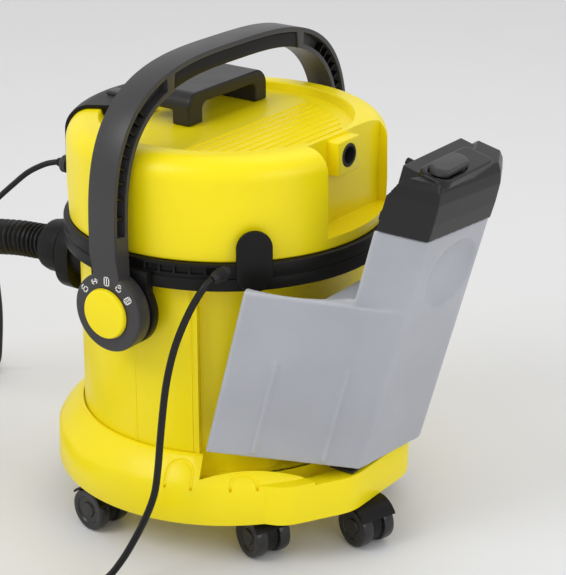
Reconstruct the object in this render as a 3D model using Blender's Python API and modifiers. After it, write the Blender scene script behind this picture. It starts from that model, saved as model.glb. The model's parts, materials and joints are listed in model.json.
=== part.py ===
"""Carpet cleaner machine: a spray-extraction cleaner on castors, as separate parts.

Frame: metres, +Z up, origin on the floor under the middle of the machine's outline.
+X points to the rear, where the fresh-water tank stands; the hoses leave towards -X;
the bail handle turns about a line along Y. Everything is modelled about the drum's axis
and then moved by DRUM_X, which puts the origin under the middle of the machine.
"""

import math

import bmesh
import bpy
from mathutils import Matrix, Vector

# ---------------------------------------------------------------- driving dimensions

DRUM_X = -0.0534                # the drum's axis in the finished frame
ROUND = 40                      # facets of the large round pieces
GAP = 0.0003                    # between neighbouring solids
WALL = 0.003                    # moulded shells

# base chassis
SKIRT_R = 0.179
SKIRT_BOTTOM = 0.047
SKIRT_TOP = 0.083
LEDGE_Z = 0.0855                # ledge that the fresh-water tank stands on
DECK_Z = (0.060, 0.064)
REAR_X = 0.188                  # flat rear edge of the base
REAR_HALF = 0.050
CHAMFER = (0.151, 0.113)        # where the chamfered rear corners meet the round skirt

# waste-water container
DRUM_R_LOW = 0.1505
DRUM_R_TOP = 0.1485
DRUM_Z = (0.0645, 0.2885)
RIM_R = 0.1575
RIM_Z = 0.2845
POCKET_R = 0.140                # wall of the pocket that takes the fresh-water tank
POCKET_FLAT_X = 0.112
POCKET_FLAT_HALF = 0.084
POCKET_Z = (0.0875, 0.2785)
POCKET_ANGLES = (-64.0, 38.0)

# lift-off head
RING_R = 0.1635
RING_Z = (0.284, 0.3105)
RING_DECK = (0.2916, 0.2966)
COVER_R = 0.1578
COVER_TOP = 0.4075
SHOULDER = 0.022
TRAY_R = 0.1235                 # shallow tray in the top of the head
TRAY_Z = 0.3985
NECK_RECESS = ((0.1275, -0.045, 0.322), (0.200, 0.078, 0.430))
COUPLING = (0.141, 0.005, 0.389)    # mouth of the tank coupling, which faces +X

# bail handle
HUB_Z = 0.2585
HUB_R = 0.041
HUB_FACE = 0.187
ARM_OUT = 0.1905
ARCH_Z = 0.315
ARCH_HIGH = 0.1675
ARCH_POWER = 3.2
STRAP = 0.0195                  # radial thickness of the handle
STRAP_HALF = 0.0155             # half its width along X
GRIP_HALF = 0.100

# fresh-water tank, in its seated place; it is shown tilted out by TILT
TILT = math.radians(15.2)
TILT_X, TILT_Z = REAR_X, 0.090
TANK_Z = (0.0935, 0.258, 0.276)     # bottom, top of the inner block, top of the wing
NECK_TOP = 0.352
CAP_TOP = 0.410
MOUTH = (0.1812, 0.002)
BUTTON = (0.1765, -0.0170)      # middle of the cap's oval button

# hoses, lead and castors
HOSE_R = 0.019
HOSE_Y, HOSE_Z = -0.065, 0.252
SPRAY_R = 0.003
SPRAY_Y, SPRAY_Z = -0.066, 0.3435
LEAD_R = 0.0035
WHEEL_R = 0.0218
WHEEL_FACETS = 16               # turned so that one facet lies flat on the floor
TRAIL = 0.016                   # wheel axle behind the castor stem
CASTORS = (                     # stem x, stem y and how far the castor is turned, in degrees
    (0.1688, -0.0149, -18.6), (0.0981, -0.0912, -21.2), (0.0981, 0.0912, -16.0),
    (-0.0698, -0.1436, -8.6), (-0.0698, 0.1436, -13.0),
)

# routes of the free cords, from the machine outwards; each runs into its coil
SUCTION_ROUTE = (
    (-0.1530, -0.0650, 0.2520), (-0.1660, -0.0650, 0.2520), (-0.1795, -0.0650, 0.2517),
    (-0.2000, -0.0648, 0.2500), (-0.2250, -0.0665, 0.2485), (-0.2500, -0.0710, 0.2460),
    (-0.2930, -0.0729, 0.2400), (-0.3340, -0.0735, 0.2213), (-0.3780, -0.0740, 0.1911),
    (-0.4200, -0.0750, 0.1531), (-0.4620, -0.0777, 0.1122), (-0.5040, -0.0836, 0.0742),
    (-0.5460, -0.0947, 0.0470),
)
SUCTION_COIL = (-0.4300, -0.2500)
SUCTION_COIL_R = (0.1460, 0.2280)
SUCTION_COIL_HIGH = 0.0382
CUFF = ((-0.4961, -0.3711), (-0.4256, -0.3968))
SPRAY_ROUTE = (
    (-0.1662, -0.0662, 0.3433), (-0.1800, -0.0700, 0.3392), (-0.2000, -0.0745, 0.3280),
    (-0.2200, -0.0770, 0.3115), (-0.2400, -0.0775, 0.2945), (-0.2620, -0.0700, 0.2775),
    (-0.2860, -0.0520, 0.2590), (-0.3110, -0.0270, 0.2300), (-0.3340, -0.0010, 0.1900),
    (-0.3540, 0.0230, 0.1430), (-0.3710, 0.0420, 0.0940), (-0.3870, 0.0550, 0.0490),
    (-0.4020, 0.0640, 0.0120), (-0.4180, 0.0665, 0.0045),
)
SPRAY_COIL = (-0.4450, 0.0300)
SPRAY_COIL_R = (0.0211, 0.0451)
SPRAY_COIL_HIGH = 0.0180
LEAD_ROUTE = (
    (0.0928, -0.1479, 0.2995), (0.0923, -0.1520, 0.2987), (0.0905, -0.1565, 0.2940),
    (0.0855, -0.1610, 0.2830),
    (0.0795, -0.1645, 0.2695), (0.0740, -0.1700, 0.2520), (0.0690, -0.1738, 0.2340),
    (0.0658, -0.1775, 0.2160), (0.0642, -0.1820, 0.1960), (0.0630, -0.1860, 0.1700),
    (0.0633, -0.1910, 0.1440), (0.0652, -0.1975, 0.1190), (0.0655, -0.2040, 0.0960),
    (0.0600, -0.2105, 0.0730), (0.0515, -0.2175, 0.0500), (0.0435, -0.2280, 0.0290),
    (0.0345, -0.2410, 0.0120), (0.0240, -0.2620, 0.0045), (0.0090, -0.2880, 0.0038),
    (-0.0020, -0.3120, 0.0038), (-0.0090, -0.3330, 0.0038),
)
LEAD_COIL = (0.0490, -0.3500)
LEAD_COIL_R = (0.0280, 0.0630)
LEAD_COIL_HIGH = 0.0280

# ---------------------------------------------------------------- colours

FINISHES = {
    "yellow": ((0.93, 0.80, 0.02), 0.35, 0.0),
    "black": ((0.018, 0.018, 0.020), 0.45, 0.0),
    "graphite": ((0.075, 0.075, 0.078), 0.40, 0.0),
    "tank": ((0.60, 0.63, 0.69), 0.30, 0.0),
    "rubber": ((0.020, 0.020, 0.020), 0.80, 0.0),
    "steel": ((0.55, 0.56, 0.58), 0.35, 1.0),
    "foam": ((0.12, 0.12, 0.13), 0.95, 0.0),
    "brass": ((0.70, 0.52, 0.22), 0.35, 1.0),
    "white": ((0.80, 0.80, 0.78), 0.40, 0.0),
}


# ---------------------------------------------------------------- scene and modelling helpers


def clear_scene():
    for obj in list(bpy.data.objects):
        bpy.data.objects.remove(obj, do_unlink=True)


def make_collection(name):
    collection = bpy.data.collections.new(name)
    bpy.context.scene.collection.children.link(collection)
    return collection


def finish_material(node, finish):
    """A material of its own for one node, in one of the shared finishes."""
    colour, roughness, metallic = FINISHES[finish]
    material = bpy.data.materials.new(node)
    material.use_nodes = True
    shader = material.node_tree.nodes["Principled BSDF"]
    shader.inputs["Base Color"].default_value = (*colour, 1.0)
    shader.inputs["Roughness"].default_value = roughness
    shader.inputs["Metallic"].default_value = metallic
    return material


def add_object(name, data, finish=None):
    """Put mesh or curve data in the scene: as a part with a finish, or else as a cutter."""
    obj = bpy.data.objects.new(name, data)
    if finish:
        PARTS.objects.link(obj)
        data.materials.append(finish_material(name, finish))
    else:
        CUTTERS.objects.link(obj)
        obj.hide_render = True
        obj.display_type = "WIRE"
    return obj


def smooth(mesh, angle=35.0):
    mesh.shade_smooth()
    mesh.set_sharp_from_angle(angle=math.radians(angle))


def turned(name, profile, finish=None, steps=48, closed=True):
    """Turn an (r, z) profile about Z. It runs down the outer side, then back up the inner side."""
    mesh = bpy.data.meshes.new(name)
    count = len(profile)
    edges = [(i, i + 1) for i in range(count - 1)] + ([(count - 1, 0)] if closed else [])
    mesh.from_pydata([(r, 0.0, z) for r, z in profile], edges, [])
    obj = add_object(name, mesh, finish)
    screw = obj.modifiers.new("turn", "SCREW")
    screw.axis = "Z"
    screw.angle = 2 * math.pi
    screw.steps = screw.render_steps = steps
    screw.use_merge_vertices = True
    screw.merge_threshold = 0.00001
    screw.use_smooth_shade = True
    return obj


def sector(name, profile, angles, steps, finish=None):
    """Sweep a closed (r, z) profile about Z between two angles in degrees."""
    bm = bmesh.new()
    start, stop = (math.radians(a) for a in angles)
    corners = [bm.verts.new((r * math.cos(start), r * math.sin(start), z)) for r, z in profile]
    face = bm.faces.new(corners)
    bmesh.ops.spin(bm, geom=[face, *face.edges, *corners], cent=(0, 0, 0), axis=(0, 0, 1),
                   angle=stop - start, steps=steps, use_duplicate=False)
    bmesh.ops.recalc_face_normals(bm, faces=bm.faces)
    return from_bmesh(name, bm, finish)


def from_bmesh(name, bm, finish=None):
    mesh = bpy.data.meshes.new(name)
    bm.to_mesh(mesh)
    bm.free()
    smooth(mesh)
    return add_object(name, mesh, finish)


def box(name, low, high, finish=None):
    bm = bmesh.new()
    size = Vector(high) - Vector(low)
    place = Matrix.Translation((Vector(high) + Vector(low)) / 2) @ Matrix.Diagonal((*size, 1))
    bmesh.ops.create_cube(bm, size=1.0, matrix=place)
    return from_bmesh(name, bm, finish)


def rod(name, start, end, radius, finish=None, end_radius=None, segments=24):
    """A cylinder, or a cone, between two points."""
    start, end = Vector(start), Vector(end)
    along = end - start
    place = Matrix.Translation((start + end) / 2) @ along.to_track_quat("Z", "Y").to_matrix().to_4x4()
    bm = bmesh.new()
    bmesh.ops.create_cone(bm, cap_ends=True, segments=segments, radius1=radius,
                          radius2=radius if end_radius is None else end_radius,
                          depth=along.length, matrix=place)
    return from_bmesh(name, bm, finish)


def slab(name, outline, low, high, finish=None, axis="Z", holes=()):
    """A flat outline, given counter-clockwise, extruded along an axis between two values.

    Outline points are (x, y) for Z, (y, z) for X and (x, z) for Y.
    """
    curve = bpy.data.curves.new(name, "CURVE")
    curve.dimensions = "2D"
    curve.fill_mode = "BOTH"
    curve.extrude = (high - low) / 2
    for loop in (outline, *holes):
        spline = curve.splines.new("POLY")
        spline.points.add(len(loop) - 1)
        for point, (u, v) in zip(spline.points, loop, strict=True):
            point.co = (u, v, 0, 1)
        spline.use_cyclic_u = True
    turn = {
        "Z": Matrix.Identity(4),
        "X": Matrix(((0, 0, 1, 0), (1, 0, 0, 0), (0, 1, 0, 0), (0, 0, 0, 1))),
        "Y": Matrix(((1, 0, 0, 0), (0, 0, -1, 0), (0, 1, 0, 0), (0, 0, 0, 1))),
    }[axis]
    middle = (low + high) / 2
    shift = {"Z": (0, 0, middle), "X": (middle, 0, 0), "Y": (0, middle, 0)}[axis]
    obj = add_object(name, curve, None)
    obj.matrix_world = Matrix.Translation(shift) @ turn
    return to_mesh(obj, finish)


def to_mesh(obj, finish=None):
    """Replace a curve by its welded mesh, in world space."""
    bpy.context.view_layer.update()
    evaluated = obj.evaluated_get(bpy.context.evaluated_depsgraph_get())
    mesh = bpy.data.meshes.new_from_object(evaluated)
    mesh.transform(obj.matrix_world)
    bm = bmesh.new()
    bm.from_mesh(mesh)
    bmesh.ops.remove_doubles(bm, verts=bm.verts, dist=0.00001)
    bmesh.ops.recalc_face_normals(bm, faces=bm.faces)
    bpy.data.meshes.remove(mesh)
    name = obj.name
    data = obj.data
    bpy.data.objects.remove(obj)
    bpy.data.curves.remove(data)
    return from_bmesh(name, bm, finish)


def tube(name, points, radius, finish=None, resolution=2):
    """A closed round tube along a list of points."""
    curve = bpy.data.curves.new(name, "CURVE")
    curve.dimensions = "3D"
    curve.bevel_depth = radius
    curve.bevel_resolution = resolution
    curve.use_fill_caps = True
    spline = curve.splines.new("POLY")
    spline.points.add(len(points) - 1)
    for point, place in zip(spline.points, points, strict=True):
        point.co = (*place, 1)
    return add_object(name, curve, finish)


def settle(obj):
    """Keep the evaluated mesh in place of the modifiers."""
    mesh = evaluated_mesh(obj)
    obj.modifiers.clear()
    obj.data = mesh


def hang(name, location, pieces):
    """Parent pieces to an empty on their joint's axis, where they already are."""
    pivot = bpy.data.objects.new(name, None)
    PARTS.objects.link(pivot)
    pivot.location = location
    for piece in pieces:
        piece.parent = pivot
        piece.matrix_parent_inverse = Matrix.Translation(location).inverted()
    return pivot


def combine(obj, other, operation="DIFFERENCE"):
    """Cut by, or join with, another object, which stays as a hidden cutter."""
    modifier = obj.modifiers.new(operation.lower(), "BOOLEAN")
    modifier.operation = operation
    modifier.solver = "EXACT"
    modifier.object = other
    return obj


def soften(obj, width, segments=2, angle=40.0):
    bevel = obj.modifiers.new("soften", "BEVEL")
    bevel.width = width
    bevel.segments = segments
    bevel.limit_method = "ANGLE"
    bevel.angle_limit = math.radians(angle)
    return obj


def arc(centre, radius, start, stop, count):
    """Points on an arc, angles in degrees."""
    angles = [math.radians(start + (stop - start) * i / (count - 1)) for i in range(count)]
    return [(centre[0] + radius * math.cos(a), centre[1] + radius * math.sin(a)) for a in angles]


def pill(centre, radius, length, count=9):
    """Outline of an upright pill: two half circles, length between their centres."""
    u, v = centre
    top = arc((u, v + length / 2), radius, 0, 180, count)
    bottom = arc((u, v - length / 2), radius, 180, 360, count)
    return top + bottom


def smooth_path(points, step):
    """Points a step apart on a smooth curve through the given ones."""
    points = [Vector(p) for p in points]
    padded = [2 * points[0] - points[1], *points, 2 * points[-1] - points[-2]]
    dense = []
    for a, b, c, d in zip(padded, padded[1:], padded[2:], padded[3:], strict=False):
        for i in range(24):
            t = i / 24
            dense.append(0.5 * (2 * b + (c - a) * t + (2 * a - 5 * b + 4 * c - d) * t * t
                                + (3 * b - 3 * c + d - a) * t ** 3))
    dense.append(points[-1])
    total = sum((q - p).length for p, q in zip(dense, dense[1:], strict=False))
    count = max(2, round(total / step))
    path, travelled, target = [dense[0]], 0.0, total / count
    for p, q in zip(dense, dense[1:], strict=False):
        length = (q - p).length
        while travelled + length >= target and len(path) < count:
            path.append(p.lerp(q, (target - travelled) / length))
            target += total / count
        travelled += length
    return [*path, dense[-1]]


# ---------------------------------------------------------------- base


def rear_outline(inset=0.0):
    """Rear part of the base: flat end and chamfered corners, on both sides of y = 0."""
    side = [(0.040, 0.1250), (0.085, 0.1370), CHAMFER, (REAR_X, REAR_HALF)]
    side = [(x - inset, y - inset) for x, y in side]
    return [(x, -y) for x, y in side] + side[::-1]


def make_base():
    outer = [
        (0.0, 0.111), (0.1535, 0.111), (0.1755, 0.0875), (SKIRT_R - 0.001, SKIRT_TOP),
        (SKIRT_R, SKIRT_BOTTOM), (0.0, SKIRT_BOTTOM),
    ]
    base = turned("base_chassis", outer, "yellow", steps=ROUND, closed=False)
    rear = slab("base_rear", rear_outline(), SKIRT_BOTTOM + 0.0004, LEDGE_Z + 0.003)
    combine(base, rear, "UNION")
    seat = rod("base_seat", (0, 0, DECK_Z[1]), (0, 0, 0.13), DRUM_R_LOW + 0.0012, segments=ROUND)
    combine(base, seat)
    under = LEDGE_Z - 0.004
    channel = [
        (0.0, DECK_Z[0]), (0.1550, DECK_Z[0]), (0.1550, under), (SKIRT_R - WALL - 0.001, under),
        (SKIRT_R - WALL, 0.040), (0.0, 0.040),
    ]
    channel_cutter = turned("base_channel", channel, steps=ROUND, closed=False)
    combine(base, channel_cutter)
    rear_hollow = slab("base_rear_hollow", rear_outline(WALL), 0.038, under - 0.001)
    combine(rear_hollow, rod("base_rear_core", (0, 0, 0.03), (0, 0, 0.10), 0.1650, segments=ROUND))
    combine(base, rear_hollow)
    ledge = [(0.150, LEDGE_Z), (0.250, LEDGE_Z), (0.250, 0.130), (0.150, 0.130)]
    combine(base, sector("base_ledge", ledge, (-66.0, 52.0), 24))
    for i, (x, y, _) in enumerate(CASTORS):
        top = 0.0830 if math.hypot(x, y) > 0.165 else 0.0620
        boss = rod(f"castor_boss_{i}", (x, y, 0.0475), (x, y, top), 0.0105, segments=12)
        bore = rod(f"castor_bore_{i}", (x, y, 0.040), (x, y, 0.0600), 0.0053, segments=12)
        combine(base, boss, "UNION")
        combine(base, bore)
    box("tank_rest_pad", (0.158, -0.048, LEDGE_Z + GAP), (0.185, 0.048, 0.0895), "rubber")
    return base


def make_castors():
    """Five twin-wheel castors: a yoke that swivels, and two wheels on one axle."""
    wheels = castor_wheels()
    wheels.transform(Matrix.Translation((-TRAIL, 0, -WHEEL_R)))
    wheels.transform(Matrix.Rotation(math.pi / WHEEL_FACETS, 4, "Y"))
    yoke = castor_yoke()
    for i, (x, y, turn) in enumerate(CASTORS, start=1):
        holder = add_object(f"castor_{i}_yoke", yoke.copy(), "black")
        holder.location = (x, y, 0)
        holder.rotation_euler.z = math.radians(turn)
        pair = add_object(f"castor_{i}_wheels", wheels.copy(), "black")
        pair.parent = holder
        pair.location = (TRAIL, 0, WHEEL_R)


def evaluated_mesh(obj):
    bpy.context.view_layer.update()
    evaluated = obj.evaluated_get(bpy.context.evaluated_depsgraph_get())
    return bpy.data.meshes.new_from_object(evaluated)


def castor_wheels():
    """Both wheels and their axle, about the stem's own frame."""
    axle = rod("axle_blank", (TRAIL, -0.010, WHEEL_R), (TRAIL, 0.010, WHEEL_R), 0.003, segments=12)
    corner_r = WHEEL_R / math.cos(math.pi / WHEEL_FACETS)
    for side in (-1, 1):
        wheel = rod(f"wheel_blank_{side}", (TRAIL, side * 0.0065, WHEEL_R),
                    (TRAIL, side * 0.0190, WHEEL_R), corner_r, segments=WHEEL_FACETS)
        soften(wheel, 0.0025, 1)
        combine(axle, wheel, "UNION")
    return evaluated_mesh(axle)


def castor_yoke():
    """Web between the wheels, hood over them and the stem."""
    web = rod("web_blank", (TRAIL, -0.0058, WHEEL_R), (TRAIL, 0.0058, WHEEL_R), 0.0190, segments=16)
    neck = box("yoke_neck", (-0.009, -0.0058, WHEEL_R), (TRAIL + 0.002, 0.0058, 0.0455))
    hood = rod("hood_blank", (TRAIL, -0.0200, WHEEL_R), (TRAIL, 0.0200, WHEEL_R), 0.0246, segments=16)
    combine(hood, rod("hood_hollow", (TRAIL, -0.03, WHEEL_R), (TRAIL, 0.03, WHEEL_R), 0.0234, segments=16))
    combine(hood, box("hood_front", (-0.05, -0.03, -0.01), (TRAIL - 0.019, 0.03, 0.06)))
    combine(hood, box("hood_low", (-0.05, -0.03, -0.01), (0.08, 0.03, 0.034)))
    combine(web, neck, "UNION")
    combine(web, hood, "UNION")
    combine(web, rod("yoke_stem", (0, 0, 0.040), (0, 0, 0.0590), 0.0050, segments=12), "UNION")
    combine(web, rod("yoke_bore", (TRAIL, -0.02, WHEEL_R), (TRAIL, 0.02, WHEEL_R), 0.0033, segments=12))
    return evaluated_mesh(web)


# ---------------------------------------------------------------- waste-water container


def pocket(name, radius, flat_x, flat_half, levels, angles):
    """Cutter for the pocket in the drum wall that the fresh-water tank stands in."""
    low, high = levels
    ring = [(radius, low), (0.220, low), (0.220, high), (radius, high)]
    cutter = sector(name, ring, angles, 16)
    flat = box(f"{name}_flat", (flat_x, -flat_half, low), (0.200, flat_half, high))
    return combine(cutter, flat, "UNION")


def make_container():
    outer = [
        (0.0, DRUM_Z[1]), (RIM_R, DRUM_Z[1]), (RIM_R, RIM_Z), (DRUM_R_TOP, RIM_Z - 0.004),
        (DRUM_R_LOW, DRUM_Z[0] + 0.004), (DRUM_R_LOW - 0.004, DRUM_Z[0]), (0.0, DRUM_Z[0]),
    ]
    drum = turned("waste_container", outer, "yellow", steps=ROUND, closed=False)
    combine(drum, pocket("pocket", POCKET_R, POCKET_FLAT_X, POCKET_FLAT_HALF, POCKET_Z, POCKET_ANGLES))
    inner = [
        (0.0, 0.300), (DRUM_R_TOP - WALL, 0.300), (DRUM_R_TOP - WALL, 0.280),
        (DRUM_R_LOW - WALL, DRUM_Z[0] + WALL + 0.003), (DRUM_R_LOW - 0.007, DRUM_Z[0] + WALL),
        (0.0, DRUM_Z[0] + WALL),
    ]
    hollow = turned("drum_hollow", inner, steps=ROUND, closed=False)
    levels = (POCKET_Z[0] - WALL, POCKET_Z[1] + WALL)
    angles = (POCKET_ANGLES[0] - 1.3, POCKET_ANGLES[1] + 1.3)
    combine(hollow, pocket("pocket_wall", POCKET_R - WALL, POCKET_FLAT_X - WALL,
                           POCKET_FLAT_HALF + WALL, levels, angles))
    combine(drum, hollow)
    combine(drum, rod("port_hole", (-0.09, HOSE_Y, HOSE_Z), (-0.20, HOSE_Y, HOSE_Z),
                      0.0235 + GAP, segments=32))
    seal = [(0.1565, 0.2913), (0.1565, 0.2888), (0.1500, 0.2888), (0.1500, 0.2913)]
    turned("container_seal", seal, "rubber", steps=32)


def make_hose_port():
    """Pill-shaped flange with a socket through the drum wall, and the bayonet collar."""
    flange = slab("hose_port", pill((HOSE_Y, 0.2470), 0.028, 0.0140), -0.1525, -0.1000, "black", "X")
    combine(flange, rod("port_drum", (0, 0, 0.18), (0, 0, 0.30), DRUM_R_LOW + 0.0012, segments=ROUND))
    socket = rod("port_socket", (-0.1000, HOSE_Y, HOSE_Z), (-0.1500, HOSE_Y, HOSE_Z), 0.0235, segments=32)
    combine(flange, socket, "UNION")
    combine(flange, rod("port_bore", (-0.08, HOSE_Y, HOSE_Z), (-0.17, HOSE_Y, HOSE_Z), 0.0175, segments=32))
    collar_middle = (-0.1655, HOSE_Y, HOSE_Z)
    collar = rod("hose_collar", (-0.1530, HOSE_Y, HOSE_Z), (-0.1780, HOSE_Y, HOSE_Z), 0.0285, "black", 0.0260,
                 segments=32)
    combine(collar, rod("collar_bore", (-0.14, HOSE_Y, HOSE_Z), (-0.19, HOSE_Y, HOSE_Z),
                        HOSE_R + 0.0007, segments=32))
    hang("collar_pivot", collar_middle, [collar])


# ---------------------------------------------------------------- head


def make_head_ring():
    profile = [
        (RING_R - 0.001, RING_Z[1]), (RING_R, RING_Z[1] - 0.001), (RING_R, RING_Z[0]),
        (0.1582, RING_Z[0]), (0.1582, RING_DECK[0]), (0.0460, RING_DECK[0]),
        (0.0460, RING_DECK[1]), (0.1530, RING_DECK[1]), (0.1530, RING_Z[1]),
    ]
    ring = turned("head_ring", profile, "black", steps=ROUND)
    for side in (-1, 1):
        inner, outer = ((0.003, side * y, HUB_Z) for y in (0.1600, 0.1685))
        ear = rod(f"ear_{side}", inner, outer, 0.037, segments=32)
        web = box(f"ear_web_{side}", (-0.034, min(side * 0.1600, side * 0.1685), HUB_Z),
                  (0.040, max(side * 0.1600, side * 0.1685), 0.3000))
        boss = rod(f"ear_boss_{side}", (0, side * 0.1600, HUB_Z), (0, side * 0.1855, HUB_Z), 0.0115)
        for piece in (ear, web, boss):
            combine(ring, piece, "UNION")


def cover_profile(inset, bottom):
    """Half section of the head cover, from the middle of its tray out and down."""
    centre = (COVER_R - SHOULDER, COVER_TOP - SHOULDER)
    shoulder = arc(centre, SHOULDER - inset, 90, 0, 6)
    rim = TRAY_R + inset
    return [
        (0.0, TRAY_Z - inset), (rim - 0.003, TRAY_Z - inset), (rim, TRAY_Z - inset + 0.003),
        (rim + 0.002, COVER_TOP - inset), *shoulder, (COVER_R + 0.0007 - inset, 0.345),
        (COVER_R - 0.0003 - inset, bottom), (0.0, bottom),
    ]


def make_head_cover():
    cover = turned("head_cover", cover_profile(0.0, RING_Z[1] + GAP), "yellow", steps=ROUND, closed=False)
    low, high = NECK_RECESS
    combine(cover, box("neck_recess", low, high))
    hollow = turned("cover_hollow", cover_profile(WALL, 0.300), steps=ROUND, closed=False)
    behind = box("neck_recess_wall", (low[0] - WALL, low[1] - WALL, low[2] - WALL),
                 (high[0], high[1] + WALL, high[2]))
    combine(hollow, behind)
    combine(cover, hollow)
    x, y, z = COUPLING
    boss = box("coupling_boss", (0.1260, y - 0.0180, z - 0.0175), (x, y + 0.0180, z + 0.0160))
    combine(cover, boss, "UNION")
    combine(cover, rod("coupling_hole", (0.10, y, z), (0.16, y, z), 0.0118, segments=24))
    weld = cover.modifiers.new("weld", "WELD")
    weld.merge_threshold = 0.00005
    combine(cover, rod("spray_hole", (-0.12, SPRAY_Y, SPRAY_Z), (-0.16, SPRAY_Y, SPRAY_Z), 0.0108))


def make_head_fittings():
    """Coupling bush, spray socket and coupling, cable tab and cable gland."""
    x, y, z = COUPLING
    bush = rod("tank_coupling_bush", (0.1180, y, z), (x + 0.0005, y, z), 0.0115, "rubber")
    combine(bush, rod("bush_bore", (0.110, y, z), (0.150, y, z), 0.0085))
    socket = rod("spray_socket", (-0.1250, SPRAY_Y, SPRAY_Z), (-0.1475, SPRAY_Y, SPRAY_Z), 0.0105, "black")
    combine(socket, rod("spray_socket_bore", (-0.12, SPRAY_Y, SPRAY_Z), (-0.15, SPRAY_Y, SPRAY_Z), 0.0040))
    rod("spray_coupling", (-0.1478, SPRAY_Y, SPRAY_Z), (-0.1645, SPRAY_Y, SPRAY_Z), 0.0058, "black", 0.0045)
    sleeve = rod("coupling_sleeve", (-0.1500, SPRAY_Y, SPRAY_Z), (-0.1570, SPRAY_Y, SPRAY_Z), 0.0092, "black")
    combine(sleeve, rod("sleeve_bore", (-0.14, SPRAY_Y, SPRAY_Z), (-0.17, SPRAY_Y, SPRAY_Z), 0.0064))
    tab = slab("cable_tab", pill((0.0, 0.3140), 0.0170, 0.0260), 0.1640, 0.1680, "black", "X")
    tab.data.transform(Matrix.Rotation(math.radians(-44.3), 4, "Z"))
    root, tip = (0.0950, -0.1280, 0.3035), (0.0931, -0.1452, 0.3001)
    gland = rod("cable_gland", root, tip, 0.0078, "rubber", 0.0046, 16)
    combine(gland, rod("gland_ring", (0, 0, 0.27), (0, 0, 0.33), RING_R + 0.0008, segments=ROUND))


def make_carry_grip():
    """Small arched grip that stands in the tray of the head: one slim leg, one broad one."""
    middle, half, foot, top = 0.026, 0.064, TRAY_Z + GAP, 0.4320
    outer = [(middle + half, foot), *arc((middle + half - 0.018, top - 0.018), 0.018, 0, 80, 5),
             *arc((middle - half + 0.014, top - 0.015), 0.014, 100, 180, 5), (middle - half, foot)]
    inner = [(middle - half + 0.022, foot), *arc((middle - half + 0.030, top - 0.021), 0.008, 180, 100, 4),
             *arc((middle + half - 0.027, top - 0.021), 0.008, 80, 0, 4), (middle + half - 0.019, foot)]
    grip = slab("carry_grip", outer + inner, -0.0800, -0.0170, "black", "X")
    combine(grip, box("slim_leg", (-0.0900, -0.0500, 0.3900), (-0.0380, -0.0100, 0.4130)))
    soften(grip, 0.0025, 1)


def make_control_panel():
    """Black strip that runs from the top of the head over its front shoulder."""
    centre = (COVER_R - SHOULDER, COVER_TOP - SHOULDER)
    over = [(0.0945, 0.4117), *arc(centre, SHOULDER + 0.0042, 85, 0, 6), (0.1624, 0.3560)]
    under = [(0.1592, 0.3560), *arc(centre, SHOULDER + 0.0009, 0, 85, 6),
             (TRAY_R - 0.0006, COVER_TOP + 0.0009),
             (TRAY_R - 0.0006, TRAY_Z + 0.0035), (0.0945, TRAY_Z + 0.0035)]
    panel = sector("control_panel", over + under, (150.0, 210.0), 12, "black")
    cover = PARTS.objects["head_cover"]
    for name, y in (("vacuum_switch", 0.0190), ("spray_switch", -0.0190)):
        well = box(f"{name}_well", (-0.1325, y - 0.0085, 0.4000), (-0.1075, y + 0.0085, 0.4300))
        combine(panel, well)
        combine(cover, well)
        rocker = box(name, (-0.1318, y - 0.0078, 0.4030), (-0.1082, y + 0.0078, 0.4150), "graphite")
        soften(rocker, 0.0012, 1)
        hang(f"{name}_pivot", (-0.1200, y, 0.4075), [rocker])


def make_suction_unit():
    """Motor, fan and housing on the deck; filter, float and its cage below the deck."""
    floor = RING_DECK[1] + GAP
    bell = [
        (0.0620, 0.3740), (0.0640, 0.3720), (0.0640, floor), (0.0615, floor), (0.0615, 0.3700),
        (0.0120, 0.3700), (0.0120, 0.3740),
    ]
    turned("motor_housing", bell, "black", steps=24)
    motor = [(0.0400, 0.3640), (0.0400, 0.3180), (0.0045, 0.3180), (0.0045, 0.3640)]
    turned("suction_motor", motor, "steel", steps=20)
    rod("motor_shaft", (0, 0, 0.2990), (0, 0, 0.3720), 0.0040, "steel", segments=16)
    blades = 9
    outline = []
    for k in range(blades):
        turn = 360 * k / blades
        outline += arc((0, 0), 0.0500, turn, turn + 12, 2) + arc((0, 0), 0.0220, turn + 26, turn + 32, 2)
    hole = arc((0, 0), 0.0043, 0, 345, 24)
    slab("turbine_fan", outline, 0.3015, 0.3115, "white", holes=(hole,))
    sponge = [(0.0550, 0.2913), (0.0550, 0.2450), (0.0420, 0.2450), (0.0420, 0.2913)]
    turned("air_filter", sponge, "foam", steps=24)
    cage = [
        (0.0415, 0.2911), (0.0390, 0.2150), (0.0120, 0.2150), (0.0120, 0.2180), (0.0362, 0.2180),
        (0.0385, 0.2911),
    ]
    basket = turned("float_cage", cage, "white", steps=24)
    for k in range(2):
        window = box(f"cage_window_{k}", (-0.06, -0.008, 0.2220), (0.06, 0.008, 0.2400))
        window.data.transform(Matrix.Rotation(math.pi / 2 * k, 4, "Z"))
        combine(basket, window)
    bm = bmesh.new()
    bmesh.ops.create_uvsphere(bm, u_segments=16, v_segments=10, radius=0.0170,
                              matrix=Matrix.Translation((0, 0, 0.2365)))
    from_bmesh("float_ball", bm, "white")


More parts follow.
